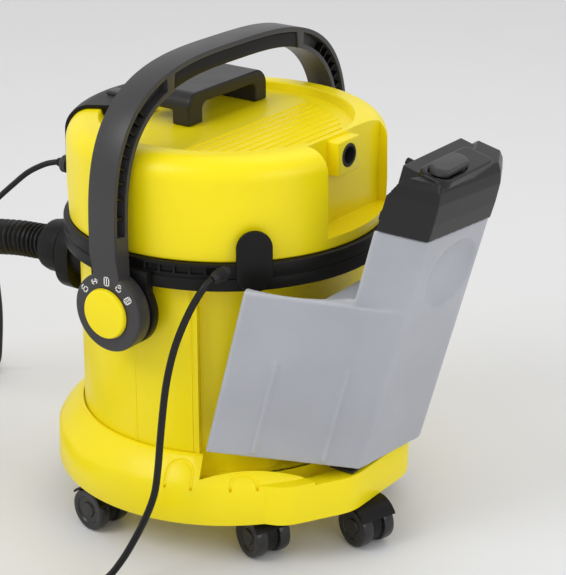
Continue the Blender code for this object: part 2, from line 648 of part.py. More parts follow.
def make_spray_unit():
    """Spray pump and the two tubes that feed it and lead from it."""
    floor = RING_DECK[1] + GAP
    pump = box("spray_pump", (-0.032, 0.082, floor), (0.030, 0.114, 0.3300), "steel")
    combine(pump, rod("pump_head", (-0.030, 0.098, 0.3180), (-0.052, 0.098, 0.3180), 0.0140), "UNION")
    _, y, z = COUPLING
    inlet = [(0.1177, y, z), (0.1080, 0.0100, 0.3885), (0.0930, 0.0300, 0.3840), (0.0740, 0.0560, 0.3720),
             (0.0500, 0.0800, 0.3580), (0.0250, 0.0930, 0.3480), (0.0130, 0.0975, 0.3410),
             (0.0100, 0.0980, 0.3320)]
    tube("pump_inlet_tube", smooth_path(inlet, 0.010), 0.0042, "rubber")
    outlet = [(-0.0535, 0.0980, 0.3180), (-0.0650, 0.0960, 0.3195), (-0.0850, 0.0780, 0.3270),
              (-0.1010, 0.0450, 0.3350), (-0.1080, 0.0050, 0.3400), (-0.1090, -0.0350, 0.3425),
              (-0.1130, -0.0580, 0.3433), (-0.1190, -0.0655, 0.3435), (-0.1240, SPRAY_Y, SPRAY_Z)]
    tube("pump_outlet_tube", smooth_path(outlet, 0.010), 0.0035, "rubber")


# ---------------------------------------------------------------- bail handle


def arch(inset, start, stop, count):
    """Points (y, z) on the rounded arch of the handle, from parameter start to stop in degrees.

    0 is the +Y side at the foot of the arch, 90 its top and 180 the -Y side.
    """
    points = []
    for i in range(count):
        a = math.radians(start + (stop - start) * i / (count - 1))
        c, s = math.cos(a), math.sin(a)
        u = math.copysign(abs(c) ** (2 / ARCH_POWER), c)
        v = abs(s) ** (2 / ARCH_POWER)
        points.append(((ARM_OUT - inset) * u, ARCH_Z + (ARCH_HIGH - inset) * v))
    return points


def make_bail():
    feet = HUB_FACE, HUB_Z
    knee = HUB_Z + 0.0285
    outer = [feet, (feet[0], knee), *arch(0.0, 0, 180, 29), (-feet[0], knee), (-feet[0], feet[1])]
    inner = [(-feet[0] + 0.0175, feet[1]), *arch(STRAP, 180, 0, 29), (feet[0] - 0.0175, feet[1])]
    bail = slab("bail_handle", outer + inner, -STRAP_HALF, STRAP_HALF, "graphite", "X")
    insert = [(y, z) for y, z in arch(0.0053, 20, 160, 37) if abs(y) < GRIP_HALF]
    under = [(y, z) for y, z in arch(STRAP, 160, 20, 37) if abs(y) < GRIP_HALF]
    slot_over = [(y, z) for y, z in arch(0.0050, 20, 160, 37) if abs(y) < GRIP_HALF]
    slot = [(GRIP_HALF + GAP, 0.44), *[(y, z) for y, z in slot_over], (-GRIP_HALF - GAP, 0.44)]
    combine(bail, slab("grip_slot", slot, -0.03, 0.03, axis="X"))
    grip = slab("bail_grip", insert + under, -STRAP_HALF + 0.001, STRAP_HALF - 0.001, "black", "X")
    for side in (-1, 1):
        inner, outer = ((0, side * y, HUB_Z) for y in (0.1695, HUB_FACE))
        disc = rod(f"hub_disc_{side}", inner, outer, HUB_R, segments=32)
        soften(disc, 0.002, 1)
        combine(bail, disc, "UNION")
    pieces = [bail, grip]
    for side in (-1, 1):
        bore = rod(f"hub_bore_{side}", (0, side * 0.16, HUB_Z), (0, side * 0.20, HUB_Z), 0.0119)
        combine(bail, bore)
    for name, side in (("hub_cap_left", -1), ("hub_cap_right", 1)):
        root, face = ((0, side * y, HUB_Z) for y in (HUB_FACE + GAP, 0.1925))
        cap = rod(name, root, face, 0.0270, "yellow", 0.0255, 32)
        pieces.append(cap)
    hang("bail_pivot", (0, 0, HUB_Z), pieces)


# ---------------------------------------------------------------- fresh-water tank


def inset_outline(points, inset):
    """Move every edge of a counter-clockwise outline inwards by the same distance."""
    moved = []
    for i, (x, y) in enumerate(points):
        before = Vector((x - points[i - 1][0], y - points[i - 1][1])).normalized()
        after_x, after_y = points[(i + 1) % len(points)]
        after = Vector((after_x - x, after_y - y)).normalized()
        normal = (Vector((-before.y, before.x)) + Vector((-after.y, after.x)))
        normal *= inset * 2 / normal.length_squared
        moved.append((x + normal.x, y + normal.y))
    return moved


def tank_outline():
    """Seated outline of the tank: facets outside, and inside a part that fills the drum's pocket."""
    ends = arc((0, 0), 0.1430, -41.0, -61.5, 6)
    inner = [(0.1795, 0.0900), (0.1150, 0.0830), (0.1150, -0.0948)]
    return [(0.0790, -0.1500), (0.1915, -0.0470), (0.2000, 0.0500), *inner, *ends]


def neck_outline():
    ends = arc((0, 0), 0.1665, 27.5, -21.5, 8)
    return [(0.1530, -0.0705), (0.1915, -0.0470), (0.2000, 0.0500), (0.1846, 0.0800), *ends]


def tank_form(name, inset, finish=None):
    """The tank's outer form, or with an inset its hollow."""
    form = slab(name, inset_outline(tank_outline(), inset), TANK_Z[0] + inset, NECK_TOP - inset, finish)
    drum = rod(f"{name}_drum", (0, 0, TANK_Z[1] - inset), (0, 0, 0.42), 0.1655 + inset, segments=48)
    combine(form, drum)
    kept = [(0.1400, -0.0785), (0.1530, -0.0705), (0.1915, -0.0468), (0.2600, -0.0440),
            (0.2600, 0.0800), (0.1400, 0.0800)]
    above = box(f"{name}_above", (0.0, -0.3, TANK_Z[2] - inset), (0.3, 0.3, 0.45))
    combine(above, slab(f"{name}_neck", inset_outline(kept, inset), 0.20, 0.50))
    return combine(form, above)


def make_tank():
    wall = 0.0022
    tank = tank_form("fresh_water_tank", 0.0, "tank")
    hollow = tank_form("tank_hollow", wall)
    x, y = MOUTH
    combine(tank, rod("tank_mouth", (x, y, 0.345), (x, y, 0.366), 0.0100, segments=20), "UNION")
    combine(hollow, rod("mouth_hollow", (x, y, 0.340), (x, y, 0.380), 0.0080, segments=20), "UNION")
    combine(tank, dent("grip_dent", 0.0))
    combine(hollow, dent("grip_dent_wall", wall))
    combine(tank, hollow)


def dent(name, grow):
    """Oval finger recess in the outer face of the neck."""
    bm = bmesh.new()
    size = (0.0150 + grow, 0.0450 + grow, 0.0420 + grow)
    place = Matrix.Translation((0.2050, 0.008, 0.302)) @ Matrix.Diagonal((*size, 1))
    bmesh.ops.create_uvsphere(bm, u_segments=16, v_segments=10, radius=1.0, matrix=place)
    return from_bmesh(name, bm)


def make_tank_cap():
    x, y = MOUTH
    cap = slab("tank_cap", inset_outline(neck_outline(), -0.0012), NECK_TOP + GAP, CAP_TOP, "black")
    combine(cap, box("cap_bulge", (0.1430, -0.0380, 0.3580), (0.1700, 0.0640, 0.4060)), "UNION")
    combine(cap, box("cap_plateau", (0.1600, -0.0420, 0.4050), (0.1930, 0.0420, 0.4150)), "UNION")
    combine(cap, slab("cap_hollow", inset_outline(neck_outline(), 0.0030), 0.3400, CAP_TOP - 0.0030))
    combine(cap, box("cap_bulge_hollow", (0.1455, -0.0355, 0.3400), (0.1720, 0.0615, 0.4035)))
    combine(cap, slab("button_well", pill(BUTTON, 0.0104, 0.0280), 0.4086, 0.4300))
    button = slab("cap_button", pill(BUTTON, 0.0100, 0.0280), 0.4120, 0.4205, "graphite")
    soften(button, 0.0015, 1, 60)
    root, collar_back, collar_front, tip = ((x, *COUPLING[1:]) for x in (0.1427, 0.1370, 0.1340, 0.1245))
    spigot = rod("cap_spigot", root, tip, 0.0040, "black", segments=16)
    combine(spigot, rod("spigot_collar", collar_back, collar_front, 0.0058, segments=16), "UNION")
    seal = [(0.0114, 0.3550), (0.0114, 0.3525), (0.0103, 0.3525), (0.0103, 0.3550)]
    gasket = turned("cap_seal", seal, "rubber", steps=24)
    gasket.location = (x, y, 0)
    rod("dip_tube", (x, y, 0.1000), (x, y, 0.4040), 0.0035, "white", segments=12)


def tilt_tank():
    """Tilt the tank and all that is on it out to its place of rest, about its bottom edge."""
    names = ("fresh_water_tank", "tank_cap", "cap_button", "cap_spigot", "cap_seal", "dip_tube")
    pieces = [PARTS.objects[name] for name in names]
    for piece in pieces:
        settle(piece)
    pivot = hang("tank_pivot", (TILT_X, 0, TILT_Z), pieces)
    pivot.rotation_euler.y = TILT


# ---------------------------------------------------------------- free cords


def free_cord(name, route, radius, step, coil, resolution=2):
    """A tube along a route, cut off where it meets its coil."""
    centre, (_, outer), height = coil
    curve = tube(name, smooth_path(route, step), radius, None, resolution)
    cord = to_mesh(curve, "black")
    end = rod(f"{name}_end", (*centre, -0.02), (*centre, height + 2 * GAP), outer + GAP, segments=ROUND)
    return combine(cord, end)


def floor_coil(name, centre, radii, height):
    """One closed ring with the outer shape of a coil that lies on the floor."""
    inner, outer = radii
    edge = 0.003
    top = height + GAP
    profile = [(outer - edge, top), (outer, top - edge), (outer, GAP), (inner, GAP), (inner, top)]
    coil = turned(name, profile, "black", steps=24)
    coil.location = (*centre, 0)
    return coil


def make_suction_hose():
    """The hose ends in a cuff that lies in a slot on the inner side of its coil."""
    coil = SUCTION_COIL, SUCTION_COIL_R, SUCTION_COIL_HIGH
    free_cord("suction_hose", SUCTION_ROUTE, HOSE_R, 0.032, coil, 3)
    ring = floor_coil("suction_hose_coil", *coil)
    low = HOSE_R + 2 * GAP
    start, end = (Vector((*xy, low)) for xy in CUFF)
    rod("suction_hose_cuff", start, end, HOSE_R + GAP, "black", 0.0165, 20)
    clearance = 3 * GAP
    spare = (end - start).normalized() * clearance
    slot = rod("cuff_slot", start - spare, end + spare, HOSE_R + clearance, segments=20)
    combine(ring, slot)


def make_spray_hose():
    coil = SPRAY_COIL, SPRAY_COIL_R, SPRAY_COIL_HIGH
    free_cord("spray_hose", SPRAY_ROUTE, SPRAY_R, 0.017, coil)
    floor_coil("spray_hose_coil", *coil)
    x, y = SPRAY_COIL
    side = y + SPRAY_COIL_R[1] + 0.0058
    root, tip = (x - 0.0200, side, 0.0055), (x - 0.0550, side + 0.0020, 0.0055)
    rod("spray_hose_fitting", root, tip, 0.0050, "brass", segments=16)


def make_mains_lead():
    coil = LEAD_COIL, LEAD_COIL_R, LEAD_COIL_HIGH
    free_cord("mains_cable", LEAD_ROUTE, LEAD_R, 0.018, coil)
    floor_coil("mains_cable_coil", *coil)
    x, y, z = LEAD_COIL[0] + 0.0615, LEAD_COIL[1] - 0.0330, 0.0190
    plug = rod("mains_plug", (x, y, z), (x + 0.036, y, z), 0.0100, "black", 0.0180)
    for side in (-1, 1):
        pin = rod(f"plug_pin_{side}", (x + 0.034, y + side * 0.0095, z), (x + 0.055, y + side * 0.0095, z),
                  0.0024, segments=12)
        combine(plug, pin, "UNION")


def place_machine():
    """Move everything, cutters included, so that the origin is under the machine's middle."""
    machine = bpy.data.objects.new("machine", None)
    loose = [obj for group in (PARTS, CUTTERS) for obj in group.objects if obj.parent is None]
    PARTS.objects.link(machine)
    machine.location.x = DRUM_X
    for obj in loose:
        obj.parent = machine


# ---------------------------------------------------------------- build

clear_scene()
PARTS = make_collection("carpet_cleaner")
CUTTERS = make_collection("cutters")

make_base()
make_container()
make_hose_port()
make_head_ring()
make_head_cover()
make_head_fittings()
make_carry_grip()
make_control_panel()
make_suction_unit()
make_spray_unit()
make_bail()
make_tank()
make_tank_cap()
tilt_tank()
make_castors()
make_suction_hose()
make_spray_hose()
make_mains_lead()
place_machine()
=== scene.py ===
"""Carpet cleaner machine: the visible surfaces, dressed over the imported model.

Shapes are modelled in metres about the drum's axis, with the fresh-water tank in its
seated place. place() then moves each piece to the frame's own origin and poses the tank.
"""

import json
import math

import bmesh
import bpy
from mathutils import Matrix, Vector


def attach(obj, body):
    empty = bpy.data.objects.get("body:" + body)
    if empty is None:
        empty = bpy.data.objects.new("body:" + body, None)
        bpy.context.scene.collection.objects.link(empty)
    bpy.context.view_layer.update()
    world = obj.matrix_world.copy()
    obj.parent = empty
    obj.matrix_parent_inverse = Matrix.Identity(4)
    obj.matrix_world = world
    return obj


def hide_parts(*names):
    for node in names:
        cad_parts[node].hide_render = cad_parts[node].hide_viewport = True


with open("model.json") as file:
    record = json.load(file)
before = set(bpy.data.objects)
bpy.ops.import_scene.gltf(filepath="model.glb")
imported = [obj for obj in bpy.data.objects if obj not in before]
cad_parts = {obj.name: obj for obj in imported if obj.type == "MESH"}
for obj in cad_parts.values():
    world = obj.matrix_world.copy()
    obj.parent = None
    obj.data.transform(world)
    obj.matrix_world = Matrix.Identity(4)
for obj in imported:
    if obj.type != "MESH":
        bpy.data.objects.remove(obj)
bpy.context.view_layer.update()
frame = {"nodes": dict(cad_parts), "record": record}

# ---------------------------------------------------------------- dimensions, as in the CAD

DRUM_X = -0.0534
ROUND = 160                     # facets of the large round pieces
HUB_Z = 0.2585
TILT = math.radians(15.2)
TILT_AT = Vector((0.188, 0.0, 0.090))
SHOULDER_AT = (0.1358, 0.3855)
SHOULDER = 0.022
TRAY_Z = 0.3985
COUPLING = (0.141, 0.005, 0.389)
SPRAY_Y, SPRAY_Z = -0.066, 0.3435
HOSE_Y, HOSE_Z = -0.065, 0.252
POCKET_ANGLES = (-64.0, 38.0)
POCKET_FLAT = (0.112, -0.084, 0.0875), (0.200, 0.084, 0.2785)       # two corners of a box
RECESS = (0.1275, -0.045, 0.322), (0.200, 0.078, 0.430)
SWITCH_Y = 0.0190
HUB_IN, HUB_OUT = 0.1695, 0.187
BUTTON = (0.1765, -0.0170)
WHEEL_R = 0.0218
TRAIL = 0.016
CASTORS = (
    (0.1688, -0.0149, -18.6), (0.0981, -0.0912, -21.2), (0.0981, 0.0912, -16.0),
    (-0.0698, -0.1436, -8.6), (-0.0698, 0.1436, -13.0),
)
HOSE_R, SPRAY_R, LEAD_R = 0.019, 0.003, 0.0035
SUCTION_ROUTE = (
    (-0.1530, -0.0650, 0.2520), (-0.1660, -0.0650, 0.2520), (-0.1795, -0.0650, 0.2517),
    (-0.2000, -0.0648, 0.2500), (-0.2250, -0.0665, 0.2485), (-0.2500, -0.0710, 0.2460),
    (-0.2930, -0.0729, 0.2400), (-0.3340, -0.0735, 0.2213), (-0.3780, -0.0740, 0.1911),
    (-0.4200, -0.0750, 0.1531), (-0.4620, -0.0777, 0.1122), (-0.5040, -0.0836, 0.0742),
    (-0.5460, -0.0947, 0.0470),
)
SUCTION_COIL = (-0.4300, -0.2500)
SPRAY_ROUTE = (
    (-0.1662, -0.0662, 0.3433), (-0.1800, -0.0700, 0.3392), (-0.2000, -0.0745, 0.3280),
    (-0.2200, -0.0770, 0.3115), (-0.2400, -0.0775, 0.2945), (-0.2620, -0.0700, 0.2775),
    (-0.2860, -0.0520, 0.2590), (-0.3110, -0.0270, 0.2300), (-0.3340, -0.0010, 0.1900),
    (-0.3540, 0.0230, 0.1430), (-0.3710, 0.0420, 0.0940), (-0.3870, 0.0550, 0.0490),
    (-0.4020, 0.0640, 0.0120), (-0.4180, 0.0665, 0.0045),
)
SPRAY_COIL = (-0.4450, 0.0300)
LEAD_ROUTE = (
    (0.0928, -0.1479, 0.2995), (0.0923, -0.1520, 0.2987), (0.0905, -0.1565, 0.2940),
    (0.0855, -0.1610, 0.2830),
    (0.0795, -0.1645, 0.2695), (0.0740, -0.1700, 0.2520), (0.0690, -0.1738, 0.2340),
    (0.0658, -0.1775, 0.2160), (0.0642, -0.1820, 0.1960), (0.0630, -0.1860, 0.1700),
    (0.0633, -0.1910, 0.1440), (0.0652, -0.1975, 0.1190), (0.0655, -0.2040, 0.0960),
    (0.0600, -0.2105, 0.0730), (0.0515, -0.2175, 0.0500), (0.0435, -0.2280, 0.0290),
    (0.0345, -0.2410, 0.0120), (0.0240, -0.2620, 0.0045), (0.0090, -0.2880, 0.0038),
    (-0.0020, -0.3120, 0.0038), (-0.0090, -0.3330, 0.0038),
)
LEAD_COIL = (0.0490, -0.3500)
SUCTION_LIE = 0.0198            # height of the hose's middle where it lies on the floor
SUCTION_WIND = (0.209, 0.161)   # radius of its turn at the start and at the end
SUCTION_START = 150.1
SUCTION_LANDING = (-0.5830, -0.1142, 0.0265)
CUFF_BEND = 0.140               # radius of the hose's last bend, towards the cuff
CORRUGATION = 0.0066            # pitch of the hose's ribs
RIB_MIDDLE, RIB_DEPTH = 0.0177, 0.0013              # their middle radius and half their depth
SPRAY_WIND, SPRAY_START = 0.0421, 75.0
LEAD_WIND, LEAD_START = 0.0595, 180.0
OFF_FLOOR = 0.0003
SPRAY_TIE = 250.0, (0.0204, 0.0458), (0.0008, 0.0190)       # angle, radii and heights of the strap
LEAD_TIE = 20.0, (0.0274, 0.0637), (0.0008, 0.0290)
FLARE_FOOT = (0.1760, 0.0885)   # radius and height of the flare's lower edge
FLARE_SLOPE = (-0.677, 0.737)
GROOVES = ((-69.5, 0.0235), (-48.6, 0.0122))        # angle and rise of each arch in the flare
GROOVE_HALF = 0.0130
WHEEL_PROFILE = (               # radius and distance from the middle of the castor
    (0.0, 0.0062), (0.0185, 0.0062), (0.0212, 0.0072), (0.0218, 0.0094), (0.0218, 0.0160),
    (0.0211, 0.0184), (0.0190, 0.0191), (0.0150, 0.0182), (0.0140, 0.0172), (0.0085, 0.0172),
    (0.0078, 0.0186), (0.0, 0.0190),
)
VENTS, VENTS_FROM, VENT_PITCH = 6, -57.5, 5.2       # count, first angle and step
MARK_SCALE = 0.00135            # metres for one unit of a stroke
MARK_RADIUS = 0.0317
MARK_WIDTH = 0.0011
MARKS = (       # angle round the hub from the top, then strokes
    (-54.0, ((-2, -2, 2, -2), (2, -2, 2, 1), (2, 1, -2, 1), (-2, 1, -2, -2), (-2, 1, -2, 3), (-2, 3, 1, 3))),
    (-26.0, ((-3, 0, 3, 0), (-3, 0, -1.4, 1.5), (-3, 0, -1.4, -1.5), (3, 0, 1.4, 1.5), (3, 0, 1.4, -1.5))),
    (2.0, ((-2, -3, 2, -3), (2, -3, 2, 3), (2, 3, -2, 3), (-2, 3, -2, -3), (0, -1.8, 0, 1.8))),
    (29.0, ((-2, -2, 2, -2), (2, -2, 2, 1), (2, 1, -2, 1), (-2, 1, -2, -2), (-1.3, 1, -1.3, 3),
            (-1.3, 3, 1.3, 3), (1.3, 3, 1.3, 1))),
    (55.0, ((-2, -3, 2, -3), (2, -3, 2, 3), (2, 3, -2, 3), (-2, 3, -2, -3), (-1, 1.6, 1, 1.6),
            (1, 1.6, 1, 0), (1, 0, -1, 0), (-1, 0, -1, -1.6), (-1, -1.6, 1, -1.6))),
)


# ---------------------------------------------------------------- modelling helpers


def smooth(mesh, angle=32.0):
    """Shade smooth, with a sharp edge wherever the faces turn by more than the angle."""
    mesh.shade_smooth()
    mesh.set_sharp_from_angle(angle=math.radians(angle))


def from_bmesh(name, bm):
    bmesh.ops.recalc_face_normals(bm, faces=bm.faces)
    mesh = bpy.data.meshes.new(name)
    bm.to_mesh(mesh)
    bm.free()
    smooth(mesh)
    obj = bpy.data.objects.new(name, mesh)
    bpy.context.scene.collection.objects.link(obj)
    return obj


def apply(obj):
    """Keep the evaluated mesh in place of the modifiers."""
    bpy.context.view_layer.update()
    evaluated = obj.evaluated_get(bpy.context.evaluated_depsgraph_get())
    mesh = bpy.data.meshes.new_from_object(evaluated)
    obj.modifiers.clear()
    obj.data = mesh
    smooth(mesh)
    return obj


def boolean(obj, others, operation):
    for other in others:
        modifier = obj.modifiers.new("shape", "BOOLEAN")
        modifier.operation = operation
        modifier.solver = "EXACT"
        modifier.object = other
    apply(obj)
    for other in others:
        bpy.data.objects.remove(other)
    return obj


def cut(obj, *others):
    return boolean(obj, others, "DIFFERENCE")


def unite(obj, *others):
    return boolean(obj, others, "UNION")


def gather(name, pieces):
    """Several meshes as one object, without a Boolean."""
    bm = bmesh.new()
    for piece in pieces:
        bm.from_mesh(piece.data)
        bpy.data.objects.remove(piece)
    mesh = bpy.data.meshes.new(name)
    bm.to_mesh(mesh)
    bm.free()
    smooth(mesh)
    obj = bpy.data.objects.new(name, mesh)
    bpy.context.scene.collection.objects.link(obj)
    return obj


def soften(obj, width, segments=2, angle=35.0):
    """Bevel every edge that is sharper than the angle."""
    bevel = obj.modifiers.new("soften", "BEVEL")
    bevel.width = width
    bevel.segments = segments
    bevel.limit_method = "ANGLE"
    bevel.angle_limit = math.radians(angle)
    return apply(obj)


def turned(name, profile, steps=ROUND, closed=True):
    """Turn an (r, z) profile about Z."""
    bm = bmesh.new()
    verts = [bm.verts.new((r, 0.0, z)) for r, z in profile]
    edges = [bm.edges.new(pair) for pair in zip(verts, verts[1:], strict=False)]
    if closed:
        edges.append(bm.edges.new((verts[-1], verts[0])))
    bmesh.ops.spin(bm, geom=[*verts, *edges], cent=(0, 0, 0), axis=(0, 0, 1), angle=2 * math.pi,
                   steps=steps, use_merge=True)
    bmesh.ops.remove_doubles(bm, verts=bm.verts, dist=0.000005)
    return from_bmesh(name, bm)


def sector(name, profile, angles, steps):
    """Turn a closed (r, z) profile about Z between two angles."""
    bm = bmesh.new()
    start, stop = (math.radians(a) for a in angles)
    corners = [bm.verts.new((r * math.cos(start), r * math.sin(start), z)) for r, z in profile]
    face = bm.faces.new(corners)
    bmesh.ops.spin(bm, geom=[face, *face.edges, *corners], cent=(0, 0, 0), axis=(0, 0, 1),
                   angle=stop - start, steps=steps)
    return from_bmesh(name, bm)


def box(name, low, high):
    bm = bmesh.new()
    size = Vector(high) - Vector(low)
    matrix = Matrix.Translation((Vector(high) + Vector(low)) / 2) @ Matrix.Diagonal((*size, 1))
    bmesh.ops.create_cube(bm, size=1.0, matrix=matrix)
    return from_bmesh(name, bm)


def rod(name, start, end, radius, end_radius=None, segments=48):
    start, end = Vector(start), Vector(end)
    along = end - start
    matrix = Matrix.Translation((start + end) / 2) @ along.to_track_quat("Z", "Y").to_matrix().to_4x4()
    bm = bmesh.new()
    bmesh.ops.create_cone(bm, cap_ends=True, segments=segments, radius1=radius,
                          radius2=radius if end_radius is None else end_radius,
                          depth=along.length, matrix=matrix)
    return from_bmesh(name, bm)


def slab(name, outline, low, high, axis="Z"):
    """A flat outline extruded along an axis: (x, y) for Z, (y, z) for X and (x, z) for Y."""
    spot = {
        "Z": lambda u, v, w: (u, v, w),
        "X": lambda u, v, w: (w, u, v),
        "Y": lambda u, v, w: (u, w, v),
    }[axis]
    bm = bmesh.new()
    face = bm.faces.new([bm.verts.new(spot(u, v, low)) for u, v in outline])
    out = bmesh.ops.extrude_face_region(bm, geom=[face])
    moved = [v for v in out["geom"] if isinstance(v, bmesh.types.BMVert)]
    bmesh.ops.translate(bm, verts=moved, vec=spot(0, 0, high - low))
    return from_bmesh(name, bm)


def loft(name, rings):
    """Skin between rings of points of the same count, closed at both ends."""
    bm = bmesh.new()
    loops = [[bm.verts.new(p) for p in ring] for ring in rings]
    for lower, upper in zip(loops, loops[1:], strict=False):
        for i in range(len(lower)):
            j = (i + 1) % len(lower)
            bm.faces.new((lower[i], lower[j], upper[j], upper[i]))
    bm.faces.new(loops[0][::-1])
    bm.faces.new(loops[-1])
    return from_bmesh(name, bm)


def turn(obj, degrees):
    obj.data.transform(Matrix.Rotation(math.radians(degrees), 4, "Z"))
    return obj


def arc(centre, radius, start, stop, count):
    angles = [math.radians(start + (stop - start) * i / (count - 1)) for i in range(count)]
    return [(centre[0] + radius * math.cos(a), centre[1] + radius * math.sin(a)) for a in angles]


def pill(centre, radius, length, count=17):
    """Outline of a slot with round ends."""
    u, v = centre
    top = arc((u, v + length / 2), radius, 0, 180, count)
    return top + arc((u, v - length / 2), radius, 180, 360, count)


def inset_outline(points, inset):
    """The outline moved inwards by the inset, or outwards where it is negative."""
    moved = []
    for i, (x, y) in enumerate(points):
        before = Vector((x - points[i - 1][0], y - points[i - 1][1])).normalized()
        after = points[(i + 1) % len(points)]
        after = Vector((after[0] - x, after[1] - y)).normalized()
        normal = Vector((-before.y, before.x)) + Vector((-after.y, after.x))
        normal *= inset * 2 / normal.length_squared
        moved.append((x + normal.x, y + normal.y))
    return moved


def rounded(points, radius, count=6):
    """The outline with each corner cut back and rounded."""
    result = []
    for i, point in enumerate(points):
        here = Vector(point)
        back, ahead = Vector(points[i - 1]) - here, Vector(points[(i + 1) % len(points)]) - here
        reach = min(radius, 0.45 * back.length, 0.45 * ahead.length)
        start, end = here + back.normalized() * reach, here + ahead.normalized() * reach
        for k in range(count + 1):
            t = k / count
            spot = start * (1 - t) ** 2 + here * 2 * t * (1 - t) + end * t * t
            result.append((spot.x, spot.y))
    return result


def smooth_path(points, step):
    """Points a step apart on a smooth curve through the given ones."""
    points = [Vector(p) for p in points]
    padded = [2 * points[0] - points[1], *points, 2 * points[-1] - points[-2]]
    dense = []
    for a, b, c, d in zip(padded, padded[1:], padded[2:], padded[3:], strict=False):
        for i in range(16):
            t = i / 16
            dense.append(0.5 * (2 * b + (c - a) * t + (2 * a - 5 * b + 4 * c - d) * t * t
                                + (3 * b - 3 * c + d - a) * t ** 3))
    dense.append(points[-1])
    total = sum((q - p).length for p, q in zip(dense, dense[1:], strict=False))
    count = max(2, round(total / step))
    path, travelled, target = [dense[0]], 0.0, total / count
    for p, q in zip(dense, dense[1:], strict=False):
        length = (q - p).length
        while travelled + length >= target and len(path) < count:
            path.append(p.lerp(q, (target - travelled) / length))
            target += total / count
        travelled += length
    return [*path, dense[-1]]


def skin(name, path, radii, sides=20):
    """A closed tube of varying radius along a path."""
    rings = []
    side = None
    for i, point in enumerate(path):
        ahead = (path[min(i + 1, len(path) - 1)] - path[max(i - 1, 0)]).normalized()
        start = side if side is not None else ahead.orthogonal()
        side = (start - ahead * start.dot(ahead)).normalized()
        up = ahead.cross(side)
        turns = [2 * math.pi * k / sides for k in range(sides)]
        rings.append([point + (side * math.cos(a) + up * math.sin(a)) * radii[i] for a in turns])
    return loft(name, rings)


def wire(name, path, radius, resolution=4):
    curve = bpy.data.curves.new(name, "CURVE")
    curve.dimensions = "3D"
    curve.bevel_depth = radius
    curve.bevel_resolution = resolution
    curve.use_fill_caps = True
    spline = curve.splines.new("POLY")
    spline.points.add(len(path) - 1)
    for point, spot in zip(spline.points, path, strict=True):
        point.co = (*spot, 1)
    spline.use_smooth = True
    obj = bpy.data.objects.new(name, curve)
    bpy.context.scene.collection.objects.link(obj)
    return obj


# ---------------------------------------------------------------- materials


def plastic(name, colour, roughness=0.4, grain=1400.0, bump=0.12, mottle=0.05, **sockets):
    """Moulded plastic: fine grain in the surface, faint clouding, and uneven gloss."""
    material = bpy.data.materials.new(name)
    material.use_nodes = True
    nodes, links = material.node_tree.nodes, material.node_tree.links
    shader = nodes["Principled BSDF"]
    place_at = nodes.new("ShaderNodeTexCoord")

    def noise(scale, detail):
        node = nodes.new("ShaderNodeTexNoise")
        node.inputs["Scale"].default_value = scale
        node.inputs["Detail"].default_value = detail
        links.new(place_at.outputs["Object"], node.inputs["Vector"])
        return node

    ramp = nodes.new("ShaderNodeValToRGB")
    ramp.color_ramp.elements[0].position = 0.35
    ramp.color_ramp.elements[1].position = 0.68
    ramp.color_ramp.elements[0].color = (*(c * (1 - mottle) for c in colour), 1)
    ramp.color_ramp.elements[1].color = (*(min(1.0, c * (1 + mottle)) for c in colour), 1)
    links.new(noise(9.0, 4.0).outputs["Fac"], ramp.inputs["Fac"])
    links.new(ramp.outputs["Color"], shader.inputs["Base Color"])
    gloss = nodes.new("ShaderNodeMapRange")
    gloss.inputs["To Min"].default_value = roughness - 0.05
    gloss.inputs["To Max"].default_value = roughness + 0.07
    links.new(noise(45.0, 5.0).outputs["Fac"], gloss.inputs["Value"])
    links.new(gloss.outputs["Result"], shader.inputs["Roughness"])
    relief = nodes.new("ShaderNodeBump")
    relief.inputs["Strength"].default_value = bump
    relief.inputs["Distance"].default_value = 0.0003
    links.new(noise(grain, 3.0).outputs["Fac"], relief.inputs["Height"])
    links.new(relief.outputs["Normal"], shader.inputs["Normal"])
    for socket, value in sockets.items():
        shader.inputs[socket.replace("_", " ")].default_value = value
    return material


YELLOW = plastic("yellow_plastic", (0.955, 0.785, 0.003), 0.36, 1100.0, 0.05, 0.025, Coat_Weight=0.10,
                 Coat_Roughness=0.25, Specular_IOR_Level=0.28)
BLACK = plastic("black_plastic", (0.0065, 0.0060, 0.0056), 0.40, 1500.0, 0.18, 0.10,
                Specular_IOR_Level=0.20)
SATIN = plastic("satin_graphite_plastic", (0.046, 0.044, 0.046), 0.36, 2200.0, 0.16, 0.08,
                Specular_IOR_Level=0.35)
CAP_BLACK = plastic("cap_plastic", (0.015, 0.0145, 0.0150), 0.30, 2200.0, 0.12, 0.10,
                    Specular_IOR_Level=0.30)
GRIP_GREY = plastic("grip_plastic", (0.020, 0.019, 0.019), 0.32, 2000.0, 0.14, 0.08,
                    Specular_IOR_Level=0.30)
GLOSSY_BLACK = plastic("glossy_black_plastic", (0.010, 0.010, 0.011), 0.24, 1500.0, 0.05, 0.10)
RUBBER = plastic("black_rubber", (0.012, 0.012, 0.012), 0.62, 1900.0, 0.30, 0.15)
CORD = plastic("cord_sheath", (0.009, 0.009, 0.009), 0.38, 1300.0, 0.15, 0.10, Specular_IOR_Level=0.28)
WHITE = plastic("white_print", (0.80, 0.80, 0.79), 0.50, 900.0, 0.05, 0.02)
WHITE_PLASTIC = plastic("white_plastic", (0.62, 0.61, 0.57), 0.42, 900.0, 0.10, 0.04)
STEEL = plastic("steel", (0.42, 0.43, 0.45), 0.32, 2500.0, 0.25, 0.06, Metallic=1.0)
BRASS = plastic("brass", (0.62, 0.45, 0.18), 0.30, 2200.0, 0.15, 0.08, Metallic=1.0)
FOAM = plastic("filter_foam", (0.035, 0.036, 0.038), 0.90, 520.0, 1.00, 0.35)
